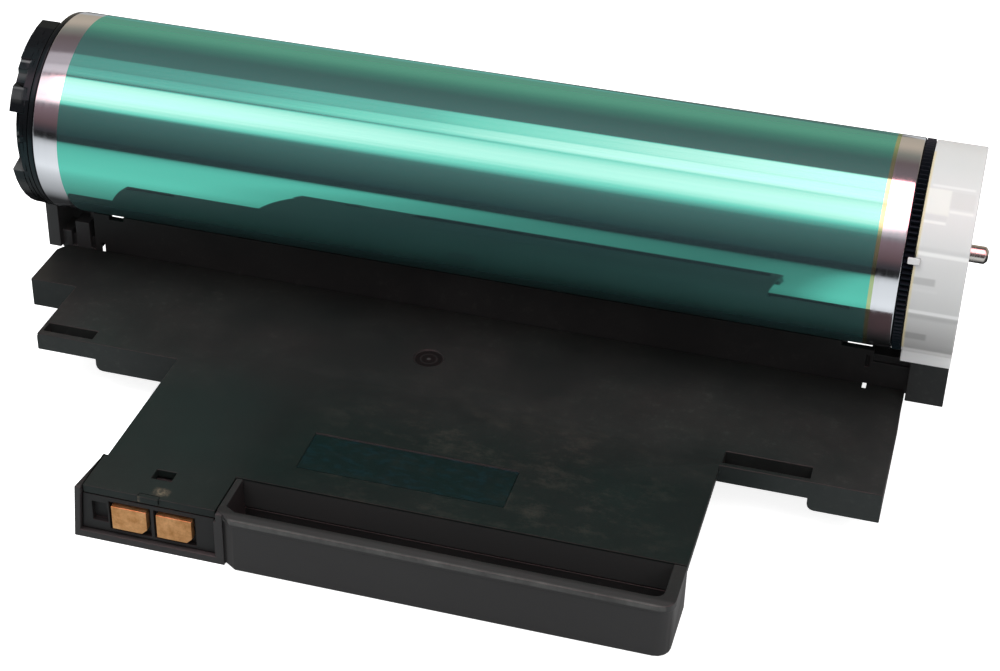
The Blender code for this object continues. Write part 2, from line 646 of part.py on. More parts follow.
def build_left_cap():
    disc_left = LEFT_CAP_RIGHT - LEFT_CAP_DISC
    disc = prism("x", disc_left, LEFT_CAP_RIGHT, left_cap_outline(LEFT_CAP_DISC_ARCS))
    cap = make("left_bearing_cap", disc, FLANGE)
    full, valley = LEFT_CAP_RADIUS, LEFT_CAP_RADIUS - LEFT_CAP_VALLEY
    lobes = prism("x", LEFT_CAP_LEFT, LEFT_CAP_RIGHT - LEFT_CAP_DISC / 2, left_cap_outline(LEFT_CAP_LOBE_ARCS))
    start, end = LEFT_CAP_RIB
    rib = prism("x", disc_left - LEFT_CAP_RIB_OUT, LEFT_CAP_RIGHT - LEFT_CAP_DISC / 2,
                arc(full, start, end, 1) + arc(valley - LAP, end, start, 1))
    inner = full - LEFT_CAP_RIM
    floor = disc_left - LEFT_CAP_RIB_OUT
    join(cap, lobes, rib)
    cut(cap, rod("x", LEFT_CAP_LEFT - LAP, floor, inner, FLANGE_SIDES))
    join(cap, shaft_rod(LEFT_CAP_LEFT, floor + LAP, CAP_HUB_RADIUS))
    top = cap_screw_top(LEFT_CAP_RADIUS) + SCREW_GAP
    cut(cap, axle_hole(LEFT_CAP_LEFT, LEFT_CAP_RIGHT),
        screw_hole(-LEFT_CAP_RADIUS - LAP, top, CAP_SCREW_SHANK, left_cap_screw_place()))


def build_right_cap():
    """A cup with ten spokes, open to the right, and a hook that reaches over the gear ring."""
    left, right = RIGHT_CAP_LEFT, RIGHT_CAP_RIGHT
    inner = RIGHT_CAP_RADIUS - RIGHT_CAP_WALL
    web = left + RIGHT_CAP_WEB
    cap = make("right_bearing_cap", rod("x", left, right, RIGHT_CAP_RADIUS, CAP_SIDES), WHITE)
    cut(cap, rod("x", web, right + LAP, inner, CAP_SIDES))
    half = RIB_THICKNESS / 2
    near, far = CAP_HUB_RADIUS - LAP, inner + LAP
    spokes = []
    for rib in range(RIGHT_CAP_RIBS):
        angle = RIB_PHASE + 360.0 * rib / RIGHT_CAP_RIBS
        along, across = polar(1, angle), polar(1, angle + 90)
        corners = ((near, -half), (far, -half), (far, half), (near, half))
        outline = [(a * along[0] + b * across[0], a * along[1] + b * across[1]) for a, b in corners]
        spokes.append(prism("x", web - LAP, right - RIB_SETBACK, outline))
    foot = block(left, right, CAP_FOOT_FRONT, CAP_FOOT_BACK, -CAP_FOOT_DROP, CAP_FOOT_HEIGHT - CAP_FOOT_DROP)
    screw_x, screw_y = right_cap_screw_place()
    top = cap_screw_top(RIGHT_CAP_RADIUS)
    boss = block(screw_x - BOSS_HALF, screw_x + BOSS_HALF, screw_y - BOSS_HALF, screw_y + BOSS_HALF,
                 -inner - LAP, top + BOSS_HALF / 2)
    clear = RIGHT_CAP_RADIUS + RUN_GAP
    hook = sector(left - HOOK_REACH, left + HOOK_ROOT, clear, clear + HOOK_THICKNESS, *HOOK)
    neck = sector(left + SEAT_GAP, left + HOOK_ROOT - SEAT_GAP, inner + LAP, clear + HOOK_THICKNESS / 2,
                  HOOK[0] + HOOK_NECK, HOOK[1] - HOOK_NECK)
    join(cap, shaft_rod(web - LAP, right, CAP_HUB_RADIUS), *spokes, foot, boss, hook, neck)
    cut(cap, axle_hole(left, right),
        screw_hole(-RIGHT_CAP_RADIUS - LAP, top + SCREW_GAP, SCREW_SHANK, (screw_x, screw_y)))


def left_cap_screw_place():
    return ((max(LEFT_POST[0], LEFT_CAP_LEFT) + LEFT_POST[1]) / 2, LEFT_CAP_SCREW_Y)


def right_cap_screw_place():
    return ((RIGHT_POST[0] + RIGHT_POST[1]) / 2, RIGHT_CAP_SCREW_Y)


def cap_screw_top(cap_radius):
    return CAP_SCREW_REACH - cap_radius


# Tray cover: the flat black plate with its tabs, skirts and guide recesses

def cover_outline():
    inner_left = BLOCK_INNER_LEFT + SEAT_GAP
    return [(TRAY_LEFT, TRAY_BACK - TRAY_CHAMFER[1]), (TRAY_LEFT, UPPER_TAB_FRONT), (LEFT_TAB_LEFT, UPPER_TAB_FRONT),
            (LEFT_TAB_LEFT, LEFT_TAB_FRONT), (BODY_LEFT, LEFT_TAB_FRONT), (BODY_LEFT, BODY_STEP),
            (inner_left, BODY_STEP), (inner_left, COVER_FRONT), (COVER_BACK_X, COVER_FRONT),
            (COVER_BACK_X, POCKET_BACK), (BODY_RIGHT, POCKET_BACK), (BODY_RIGHT, RIGHT_TAB_FRONT),
            (TRAY_RIGHT, RIGHT_TAB_FRONT), (TRAY_RIGHT, TRAY_BACK), (TRAY_LEFT + TRAY_CHAMFER[0], TRAY_BACK)]


def front_skirt(left, right, front, thin_right):
    """A tab's front wall: shallow under the guide recess, then deep, with a rounded corner between."""
    deep = TRAY_TOP - SKIRT_DEPTH
    thin = TRAY_TOP - THIN_SKIRT_DEPTH
    top = INSIDE_COVER
    corner = arc(SKIRT_CORNER, 180, 270, 3, (thin_right + SKIRT_CORNER, deep + SKIRT_CORNER))
    outline = [(left, top), (left, thin), (thin_right, thin)] + corner + [(right, deep), (right, top)]
    return prism("y", front, front + SKIRT_WALL, outline)


def recess_tub(recess, front):
    """The walls that hang under a guide recess."""
    x0, x1, _, y1 = recess
    return block(x0 - RECESS_WALL, x1 + RECESS_WALL, front, y1 + RECESS_WALL, TRAY_TOP - THIN_SKIRT_DEPTH,
                 INSIDE_COVER)


def build_cover():
    cover = make("tray_cover", prism("z", TRAY_UNDER, TRAY_TOP, cover_outline()), BLACK)
    deep = TRAY_TOP - SKIRT_DEPTH
    inside = INSIDE_COVER
    rib_low = TRAY_TOP - THIN_SKIRT_DEPTH
    left_back, right_back = SIDE_SKIRT_BACKS
    pieces = [
        front_skirt(LEFT_TAB_LEFT, BODY_LEFT, LEFT_TAB_FRONT, LEFT_RECESS[1] + RECESS_WALL),
        front_skirt(BODY_RIGHT, TRAY_RIGHT, RIGHT_TAB_FRONT, RIGHT_RECESS[1]),
        recess_tub(LEFT_RECESS, LEFT_TAB_FRONT),
        recess_tub(RIGHT_RECESS, RIGHT_TAB_FRONT),
        block(TRAY_LEFT, LEFT_TAB_LEFT + SKIRT_WALL, UPPER_TAB_FRONT, UPPER_TAB_FRONT + SKIRT_WALL, deep, inside),
        block(TRAY_LEFT, TRAY_LEFT + SKIRT_WALL, UPPER_TAB_FRONT, left_back, deep, inside),
        block(LEFT_TAB_LEFT, LEFT_TAB_LEFT + SKIRT_WALL, LEFT_TAB_FRONT, UPPER_TAB_FRONT + LAP, rib_low, inside),
        block(TRAY_RIGHT - SKIRT_WALL, TRAY_RIGHT, RIGHT_TAB_FRONT, right_back, deep, inside),
        block(*LATCH, COVER_FRONT - LATCH_OUT, COVER_FRONT + LAP, TRAY_TOP - LATCH_DROP, TRAY_TOP + LATCH_RISE),
        block(POCKET_LEFT - SKIRT_LAP, POCKET_RIGHT + SKIRT_LAP, POCKET_BACK, POCKET_BACK + POCKET_SKIRT,
              TRAY_TOP - POCKET_SKIRT_DEPTH, inside),
    ]
    for y in COVER_RIBS:
        pieces.append(block(LEFT_TAB_LEFT + LAP, HOUSING_LEFT - RIB_GAP, y, y + SKIRT_RIB, rib_low, inside))
        pieces.append(block(HOUSING_RIGHT + RIB_GAP, TRAY_RIGHT - LAP, y, y + SKIRT_RIB, rib_low, inside))
    for place_xy in COVER_SCREWS:
        pieces.append(rod("z", UNDERSIDE + WELL_DEPTH + SEAT_GAP, inside, COVER_BOSS, HEAD_SIDES, place_xy))
    join(cover, *pieces)

    above = TRAY_TOP + LAP
    cuts = []
    for x0, x1, y0, y1 in (LEFT_RECESS, RIGHT_RECESS):
        cuts.append(block(x0, x1, y0, y1, TRAY_TOP - RECESS_DEPTH, above))
    low = TRAY_UNDER - LAP
    x0, x1, y0, y1 = LABEL_RECESS
    cuts.append(block(x0, x1, POCKET_BACK + y0, POCKET_BACK + y1, TRAY_TOP - LABEL_DEPTH, above))
    x0, x1, y0, y1 = LATCH_SLOT
    cuts.append(block(x0, x1, COVER_FRONT + y0, COVER_FRONT + y1, low, above))
    cuts.append(rod("z", TRAY_TOP - MARK_DEPTH, above, MARK_RADIUS, MARK_SIDES, MARK_CENTRE))
    x0, x1 = TUBE_LENGTH - PEEP_NOTCH[0], TUBE_LENGTH - PEEP_NOTCH[1]
    y0, y1 = TRAY_BACK - PEEP_NOTCH_DEPTH, TRAY_BACK + LAP
    cuts.append(block(x0, x1, y0, y1, low, above))
    cuts.append(block(x0 - PEEP_RELIEF, x1 + PEEP_RELIEF, y0, y1, low, inside))
    for place_xy in COVER_SCREWS:
        cuts.append(screw_hole(UNDERSIDE, TRAY_UNDER, SCREW_SHANK, place_xy))
    cut(cover, *cuts)


# Main frame: lower housing, trough, contact block, cradle and end posts, moulded in one

def trough_plan(left, right, front, back, chamfer, radius):
    """From above: a chamfer at the front left and a round corner at the front right."""
    dx, dy = chamfer
    corner = arc(radius, 270, 360, 4, (right - radius, front + radius))
    return [(left, back), (left, front + dy), (left + dx, front)] + corner + [(right, back)]


def trough_outline(inset):
    return trough_plan(TROUGH_LEFT + inset, BODY_RIGHT - inset, TROUGH_FRONT + inset,
                       POCKET_BACK + TROUGH_BACK_WALL, TROUGH_CHAMFER, TROUGH_CORNER)


def pocket_outline(inset):
    return trough_plan(POCKET_LEFT + inset, POCKET_RIGHT - inset, POCKET_FRONT + inset, POCKET_BACK - inset,
                       POCKET_CHAMFER, POCKET_CORNER)


def trough_body():
    top = TRAY_TOP
    lip = top - TROUGH_LIP
    foot = TROUGH_FOOT
    return loft("z", [(UNDERSIDE, trough_outline(TROUGH_LIP_OUT + foot)),
                      (UNDERSIDE + foot, trough_outline(TROUGH_LIP_OUT)),
                      (lip, trough_outline(TROUGH_LIP_OUT)), (lip + TROUGH_LIP_OUT / 4, trough_outline(0)),
                      (top, trough_outline(0))])


def pocket_body():
    wall = pocket_outline(0)
    return loft("z", [(FLOOR_TOP, pocket_outline(POCKET_FILLET)), (FLOOR_TOP + 2 * POCKET_FILLET, wall),
                      (TRAY_TOP + LAP, wall)])


def lean(z):
    """How much further left the contact block's left wall is at a height than at the cover's top."""
    return BLOCK_LEAN * (TRAY_TOP - z) / HOUSING_HEIGHT


def leaning_block(left, right, front, back, low, high, draft=0.0):
    """A block whose left side leans as the contact block's left wall does."""
    layers = []
    for z in (low, high):
        x = left - lean(z)
        layers.append((z, [(x + draft, back), (x, front), (right, front), (right, back)]))
    return loft("z", layers)


def contact_block():
    return leaning_block(BLOCK_INNER_LEFT - BLOCK_WALL, TROUGH_LEFT + WALL, BLOCK_FRONT, BODY_STEP + LAP,
                         UNDERSIDE, TRAY_TOP - SEAT_GAP, BLOCK_DRAFT)


def post_outline(front, bottom, seat, steps, shelf=None):
    """An end post from the side: flat at front, back and bottom, hollowed for the cap."""
    start = math.degrees(math.asin(-POST_TOP / seat))
    if shelf is None:
        end = math.degrees(math.atan2(-math.sqrt(seat**2 - front**2), front))
        rest = []
    else:
        end = math.degrees(math.atan2(-shelf, -math.sqrt(seat**2 - shelf**2)))
        rest = [(front, -shelf)]
    return ([(front, bottom), (CRADLE_BACK, bottom), (CRADLE_BACK, -POST_TOP)]
            + arc(seat, start, end, steps) + rest)


def end_wall(x0, x1):
    """A cradle end wall, hollowed for the felt seal and dropping away behind it."""
    bed = arc(SEAL_BED, SEAL_TO, SEAL_FROM, 6)
    behind = TRAY_TOP + END_WALL_ABOVE
    outline = [(WALL_FRONT, UNDERSIDE), (CRADLE_BACK, UNDERSIDE), (CRADLE_BACK, behind), (DIVIDER_BACK, behind)]
    return prism("x", x0, x1, outline + bed + [(WALL_FRONT, bed[-1][1])])


def charge_frame(a, b):
    """A point at a out of the drum's axis and b across, on the charge roller's line, as (y, z)."""
    out, side = polar(1, CHARGE_ANGLE), polar(1, CHARGE_ANGLE + 90)
    return (a * out[0] + b * side[0], a * out[1] + b * side[1])


CHARGE_DISTANCE = TUBE_RADIUS + CHARGE_RADIUS + RUN_GAP
CHARGE_PLACE = charge_frame(CHARGE_DISTANCE, 0)
BEARING_INNER = CHARGE_DISTANCE - BEARING_SIZE[0] / 2
BEARING_OUTER = CHARGE_DISTANCE + BEARING_SIZE[0] / 2
SLOT_END = BEARING_OUTER + SPRING_ROOM
LEFT_CARRIER = CRADLE_LEFT - CARRIER_WIDTH - CARRIER_AWAY
RIGHT_CARRIER = CRADLE_RIGHT + CARRIER_AWAY


def carrier(x0):
    """The fork that guides a charge roller bearing towards the drum."""
    slot = BEARING_SIZE[1] / 2 + SEAT_GAP
    side = slot + CARRIER_WALL
    end = SLOT_END + CARRIER_WALL
    corners = ((BEARING_INNER, side), (end, side), (end, -side), (BEARING_INNER, -side), (BEARING_INNER, -slot),
               (SLOT_END, -slot), (SLOT_END, slot), (BEARING_INNER, slot))
    return prism("x", x0, x0 + CARRIER_WIDTH, [charge_frame(a, b) for a, b in corners])


def ledges():
    """Small ledges and stops under the drum's ends, and the sills that close the slit behind the cover."""
    low = TRAY_TOP - LEDGE_BELOW
    for x0, x1, y0, y1, rise in LEFT_LEDGES:
        yield block(x0, x1, y0, y1, low, TRAY_TOP + rise)
    for x0, x1, y0, y1, rise in RIGHT_LEDGES:
        yield block(TUBE_LENGTH + x0, RIGHT_POST[0] + x1, y0, y1, low, TRAY_TOP + rise)
    low, high = TRAY_TOP - SILL[0], TRAY_TOP + SILL[1]
    yield block(SILL_LEFT, FRONT_WALL_LEFT + LAP, WALL_FRONT, FRONT_WALL_BACK, low, high)
    yield block(FRONT_WALL_RIGHT - LAP, RIGHT_POST[0] + LAP, WALL_FRONT, FRONT_WALL_BACK, low, high)


def build_frame():
    frame = make("main_frame", trough_body(), BLACK)
    back, top = CRADLE_BACK, TRAY_UNDER - SEAT_GAP
    housing_front = POCKET_BACK + WALL / 2
    lip_y, lip_z = TUBE_RADIUS + REAR_LIP[0], REAR_LIP[1]
    rear = [(back - WALL, UNDERSIDE), (back, UNDERSIDE), (back, -REAR_BEAM_TOP), (lip_y, lip_z),
            (lip_y - REAR_LIP_THICKNESS[0], lip_z - REAR_LIP_THICKNESS[1]), (back - WALL, -REAR_BEAM_TOP)]
    left_post = post_outline(LEFT_POST_FRONT, -LEFT_POST_DROP, LEFT_POST_SEAT, 12)
    right_post = post_outline(RIGHT_POST_FRONT, -RIGHT_POST_DROP, RIGHT_POST_SEAT, 12, CAP_FOOT_DROP + SEAT_GAP)
    sides_back = WALL_FRONT + LAP
    low = UNDERSIDE + LAP
    join(
        frame,
        contact_block(),
        block(HOUSING_LEFT, HOUSING_RIGHT, housing_front, sides_back, UNDERSIDE, FLOOR_TOP),
        block(HOUSING_LEFT, HOUSING_LEFT + WALL, housing_front, sides_back, low, top),
        block(HOUSING_RIGHT - WALL, HOUSING_RIGHT, housing_front, sides_back, low, top),
        block(CRADLE_LEFT, CRADLE_RIGHT, WALL_FRONT, back, UNDERSIDE, FLOOR_TOP),
        block(CRADLE_LEFT, CRADLE_RIGHT, WALL_FRONT, FRONT_WALL_BACK, low, FRONT_WALL_TOP),
        block(FRONT_WALL_LEFT, FRONT_WALL_RIGHT, WALL_FRONT, FRONT_WALL_BACK, TRAY_TOP - SILL[0], FRONT_WALL_TOP),
        end_wall(CRADLE_LEFT, CRADLE_LEFT + CRADLE_END),
        end_wall(CRADLE_RIGHT - CRADLE_END, CRADLE_RIGHT),
        block(CRADLE_LEFT + LAP, CRADLE_RIGHT - LAP, DIVIDER_FRONT, DIVIDER_BACK, low, -DIVIDER_DROP),
        prism("x", CRADLE_LEFT, CRADLE_RIGHT, rear),
        block(LEFT_POST[0] + LAP, RIGHT_POST[1] - LAP, back - WALL, back, -COVER_DROP, -REAR_BEAM_TOP),
        prism("x", LEFT_POST[0], LEFT_POST[1], left_post),
        prism("x", RIGHT_POST[0], RIGHT_POST[1], right_post),
        carrier(LEFT_CARRIER),
        carrier(RIGHT_CARRIER),
        *ledges(),
        *[rod("z", UNDERSIDE, UNDERSIDE + WELL_DEPTH, WELL_RADIUS, HEAD_SIDES, place_xy)
          for place_xy in COVER_SCREWS],
        *[rod("z", BLADE_BOSS_LOW, -DIVIDER_DROP, BLADE_BOSS, HEAD_SIDES, place_xy)
          for place_xy in BLADE_SCREWS],
        shaft_rod(GEAR_LEFT, RIGHT_POST[0] + LAP, IDLER_PIN, IDLER_PLACE),
    )
    above = TRAY_TOP + LAP
    wall_out, wall_in = WALL_FRONT - LAP, FRONT_WALL_BACK + LAP
    wall_low = TRAY_TOP - SILL[0] - LAP
    notch_floor = FRONT_WALL_TOP - NOTCH_DEPTH
    slot_left, slot_right, slot_top, slot_low = BLIND_SLOT
    peep_left, peep_right = PEEP_SLOT
    peep_top = TRAY_TOP + PEEP_SLOT_HEIGHT
    cuts = [
        pocket_body(),
        leaning_block(BLOCK_INNER_LEFT, TROUGH_LEFT - OPENING_MARGIN, BLOCK_FRONT - LAP, BLOCK_BACK,
                      UNDERSIDE + BLOCK_FLOOR, top),
        block(BLOCK_INNER_LEFT, TROUGH_LEFT, BLOCK_FRONT - LAP, BODY_STEP + 2 * LAP, top - SEAT_GAP, above),
        block(*WASTE_PORT, wall_out, wall_in, FLOOR_TOP + LAP, TRAY_TOP - WASTE_PORT_BELOW),
        block(TROUGH_LEFT - LAP, BODY_RIGHT + LAP, POCKET_BACK - SEAT_GAP,
              POCKET_BACK + TROUGH_BACK_WALL + LAP, top, above),
        block(POCKET_LEFT - SKIRT_LAP - SEAT_GAP, POCKET_RIGHT + SKIRT_LAP + SEAT_GAP, POCKET_BACK - SEAT_GAP,
              POCKET_BACK + POCKET_SKIRT + SEAT_GAP, TRAY_TOP - POCKET_SKIRT_DEPTH - SEAT_GAP, above),
        shaft_hole(CRADLE_LEFT, CRADLE_RIGHT, AUGER_SHAFT, AUGER_PLACE),
        block(FRONT_WALL_RIGHT - slot_left, FRONT_WALL_RIGHT - slot_right, wall_out,
              WALL_FRONT + BLIND_SLOT_DEPTH, FRONT_WALL_TOP - slot_low, FRONT_WALL_TOP - slot_top),
        block(peep_left, peep_right, wall_out, wall_in, wall_low, peep_top),
        block(peep_left - PEEP_RELIEF, peep_right, WALL_FRONT + FRONT_WALL / 3, wall_in, wall_low, peep_top),
        block(TUBE_LENGTH - PEEP_NOTCH[0], TUBE_LENGTH - PEEP_NOTCH[1], wall_out, wall_in, wall_low, TRAY_TOP),
    ]
    for x0, x1 in NOTCHES:
        cuts.append(block(x0, x1, wall_out, wall_in, notch_floor, FRONT_WALL_TOP + LAP))
    under = UNDERSIDE - LAP
    for place_xy in COVER_SCREWS:
        cuts.append(rod("z", under, SCREW_SEAT, SCREW_HEAD + SEAT_GAP, HEAD_SIDES, place_xy))
        cuts.append(screw_hole(under, UNDERSIDE + WELL_DEPTH + LAP, SCREW_SHANK, place_xy))
    for place_xy in BLADE_SCREWS:
        cuts.append(screw_hole(BLADE_BOSS_LOW + LAP, -DIVIDER_DROP + LAP, SCREW_SHANK, place_xy))
    cuts.append(screw_hole(-LEFT_POST_DROP - LAP, LAP - LEFT_CAP_RADIUS, CAP_SCREW_SHANK, left_cap_screw_place()))
    cuts.append(screw_hole(-RIGHT_POST_DROP - LAP, LAP - RIGHT_CAP_RADIUS, SCREW_SHANK, right_cap_screw_place()))
    cut(frame, *cuts)


# Contact block's insulating holder, its two copper pads and the fuse behind them

def pad_span(x):
    return x - PAD_SIZE[0] / 2, x + PAD_SIZE[0] / 2


def build_contacts():
    front = BLOCK_FRONT + HOLDER_SETBACK
    back = front + HOLDER_DEPTH
    left, right = BLOCK_INNER_LEFT + SEAT_GAP, TROUGH_LEFT - OPENING_MARGIN - SEAT_GAP
    low, high = UNDERSIDE + BLOCK_FLOOR + SEAT_GAP, TRAY_UNDER - 2 * SEAT_GAP
    holder = make("contact_holder", leaning_block(left, right, front, back, low, high), BLACK)
    pad_low, pad_high = -PAD_DROP - PAD_SIZE[1] / 2, -PAD_DROP + PAD_SIZE[1] / 2
    arm_low, arm_high = -PAD_DROP - PAD_ARM, -PAD_DROP + PAD_ARM
    key_left, key_right = [BLOCK_INNER_LEFT + x for x in KEY_RECESS]
    pads = [BLOCK_INNER_LEFT + x for x in PAD_PLACES]
    cuts = [block(key_left, key_right, front - LAP, front + WINDOW_DEPTH, pad_low + KEY_UP, pad_high)]
    for x in pads:
        x0, x1 = pad_span(x)
        cuts.append(block(x0 - PAD_WINDOW, x1 + PAD_WINDOW, front - LAP, front + WINDOW_DEPTH,
                          pad_low - PAD_WINDOW, pad_high + PAD_WINDOW))
        cuts.append(block(x0 - SEAT_GAP, x0 + PAD_THICKNESS + SEAT_GAP, front, back + LAP,
                          arm_low - SEAT_GAP, arm_high + SEAT_GAP))
    cut(holder, *cuts)

    face_back = front + WINDOW_DEPTH - SEAT_GAP
    face = BLOCK_FRONT + HOLDER_SETBACK / 2
    fuse_y = back + SEAT_GAP + FUSE_RADIUS
    tail_end = fuse_y + FUSE_RADIUS
    for name, x in zip(("contact_pad_left", "contact_pad_right"), pads):
        x0, x1 = pad_span(x)
        outline = [(x0, pad_low), (x1 - PAD_CHAMFER, pad_low), (x1, pad_low + PAD_CHAMFER), (x1, pad_high),
                   (x0, pad_high)]
        pad = make(name, prism("y", face, face_back, outline), COPPER)
        join(pad, block(x0, x0 + PAD_THICKNESS, (face + face_back) / 2, tail_end, arm_low, arm_high))

    lead_left = pad_span(pads[0])[0] + PAD_THICKNESS + SEAT_GAP
    lead_right = pad_span(pads[1])[0] - SEAT_GAP
    middle = (lead_left + lead_right) / 2
    body_left, body_right = middle - FUSE_LENGTH / 2, middle + FUSE_LENGTH / 2
    fuse = [(lead_left, FUSE_LEAD), (body_left, FUSE_LEAD), (body_left, FUSE_RADIUS), (body_right, FUSE_RADIUS),
            (body_right, FUSE_LEAD), (lead_right, FUSE_LEAD)]
    make("reset_fuse", turned(fuse, SCREW_SIDES, (fuse_y, -PAD_DROP), hollow=False), CERAMIC)


# Charge roller with its sprung bearings

def build_charge_roller():
    pivot = (0.0, *CHARGE_PLACE)
    chamfer = CHARGE_CHAMFER
    x0, x1 = LEFT_CARRIER - chamfer, RIGHT_CARRIER + CARRIER_WIDTH + chamfer
    shaft = [(x0, CHARGE_SHAFT - chamfer), (x0 + chamfer, CHARGE_SHAFT), (x1 - chamfer, CHARGE_SHAFT),
             (x1, CHARGE_SHAFT - chamfer)]
    make("charge_roller_shaft", turned(shaft, SHAFT_SIDES, CHARGE_PLACE, hollow=False), STEEL, pivot)
    x0, x1 = CHARGE_SLEEVE
    chamfer = SLEEVE_CHAMFER
    inner = bore(CHARGE_SHAFT, SEAT_GAP / 2, ROLLER_SIDES)
    sleeve = [(x0, inner), (x0, CHARGE_RADIUS - chamfer), (x0 + chamfer, CHARGE_RADIUS),
              (x1 - chamfer, CHARGE_RADIUS), (x1, CHARGE_RADIUS - chamfer), (x1, inner)]
    make("charge_roller_sleeve", turned(sleeve, ROLLER_SIDES, CHARGE_PLACE), RUBBER, pivot)

    half = BEARING_SIZE[1] / 2
    corners = ((BEARING_INNER, -half), (BEARING_OUTER, -half), (BEARING_OUTER, half), (BEARING_INNER, half))
    outline = [charge_frame(a, b) for a, b in corners]
    for side, x0 in (("left", LEFT_CARRIER), ("right", RIGHT_CARRIER)):
        x1 = x0 + CARRIER_WIDTH
        bearing = make(f"charge_bearing_{side}", prism("x", x0 + SEAT_GAP, x1 - SEAT_GAP, outline), ACETAL)
        cut(bearing, shaft_hole(x0, x1, CHARGE_SHAFT, CHARGE_PLACE))
        build_spring(f"charge_spring_{side}", x0 + CARRIER_WIDTH / 2)


def build_spring(name, x):
    """A compression spring between the bearing and the fork's end: a wire ring carried up a helix."""
    sides = 4
    start = BEARING_OUTER + SEAT_GAP + SPRING_WIRE
    rise = SLOT_END - SEAT_GAP - SPRING_WIRE - start
    steps = round(SPRING_TURNS * SPRING_STEPS)
    body = bmesh.new()
    rings = []
    for i in range(steps + 1):
        turn = 2 * math.pi * i / SPRING_STEPS
        ring = []
        for k in range(sides):
            lean = 2 * math.pi * k / sides
            radius = SPRING_RADIUS + SPRING_WIRE * math.cos(lean)
            y, z = charge_frame(start + rise * i / steps + SPRING_WIRE * math.sin(lean), radius * math.cos(turn))
            ring.append(body.verts.new((x + radius * math.sin(turn), y, z)))
        rings.append(ring)
    for near, far in zip(rings, rings[1:]):
        for k in range(sides):
            j = (k + 1) % sides
            body.faces.new((near[k], near[j], far[j], far[k]))
    body.faces.new(rings[0])
    body.faces.new(rings[-1])
    make(name, body, PLATED, smooth=80)


# Cleaning: blade on its steel bracket, recovery film and felt end seals of the same length

def build_blade():
    x0, x1 = CRADLE_LEFT + CRADLE_END + BLADE_MARGIN, CRADLE_RIGHT - CRADLE_END - BLADE_MARGIN
    foot_low = -DIVIDER_DROP + SEAT_GAP
    foot_high = foot_low + BRACKET_THICKNESS
    foot_front, foot_back = BRACKET_FOOT
    heel = (DIVIDER_FRONT - foot_front, foot_low)
    foot_end = DIVIDER_FRONT + BLADE_SCREW_BACK + foot_back
    along = polar(1, BRACKET_LEAN)
    across = (along[1], -along[0])

    def leg_point(run, rise):
        return (heel[0] + run * along[0] + rise * across[0], heel[1] + run * along[1] + rise * across[1])

    bend = BRACKET_THICKNESS * math.tan(math.radians(180.0 - BRACKET_LEAN) / 2)
    outline = [(foot_end, foot_low), (foot_end, foot_high), (heel[0] + bend, foot_high),
               leg_point(BRACKET_LEG, BRACKET_THICKNESS), leg_point(BRACKET_LEG, 0), heel]
    bracket = make("blade_bracket", prism("x", x0, x1, outline), PLATED)
    for place_xy in BLADE_SCREWS:
        cut(bracket, screw_hole(foot_low - LAP, foot_high + LAP, SCREW_SHANK, place_xy))

    near = BRACKET_THICKNESS + BLADE_BOND
    far = near + BLADE_THICKNESS
    base = leg_point(0, far)
    along_base = base[0] * along[0] + base[1] * along[1]
    reach = TUBE_RADIUS + BLADE_GAP
    edge = -along_base - math.sqrt(along_base**2 - (base[0]**2 + base[1]**2 - reach**2))
    blade = [leg_point(BLADE_START, near), leg_point(BLADE_START, far), leg_point(edge, far),
             leg_point(edge, near)]
    make("cleaning_blade", prism("x", x0, x1, blade), POLYURETHANE)
    for number, place_xy in enumerate(BLADE_SCREWS, 1):
        build_screw(f"blade_screw_{number}", place_xy, foot_high + SEAT_GAP, -BLADE_SCREW_LENGTH, SCREW_SHANK,
                    SCREW_HEAD)
    return x0, x1


def build_film_and_seals(x0, x1):
    low, knee = FRONT_WALL_TOP - FILM_DEPTH, FRONT_WALL_TOP - FILM_KNEE
    front = FRONT_WALL_BACK + FILM_BOND
    tip_y, tip_z = polar(TUBE_RADIUS + RUN_GAP + FILM_THICKNESS / 2, FILM_TIP)
    film = [(front, low), (front + FILM_THICKNESS, low), (front + FILM_THICKNESS, knee),
            (tip_y + FILM_THICKNESS, tip_z - FILM_THICKNESS / 2), (tip_y, tip_z), (front, knee)]
    make("recovery_film", prism("x", x0, x1, film), FILM)

    inner, outer = TUBE_RADIUS + RUN_GAP, SEAL_BED - SEAT_GAP
    start = math.degrees(math.asin((FRONT_WALL_BACK + SEAT_GAP) / outer)) - 90
    end = SEAL_TO - SEAL_SHORT
    pad = arc(inner, start, end, 6) + arc(outer, end, start, 6)
    for side, x in (("left", CRADLE_LEFT), ("right", CRADLE_RIGHT - CRADLE_END)):
        make(f"end_seal_{side}", prism("x", x + SEAL_MARGIN, x + CRADLE_END - SEAL_MARGIN, pad), FELT)


# Waste auger and its gears

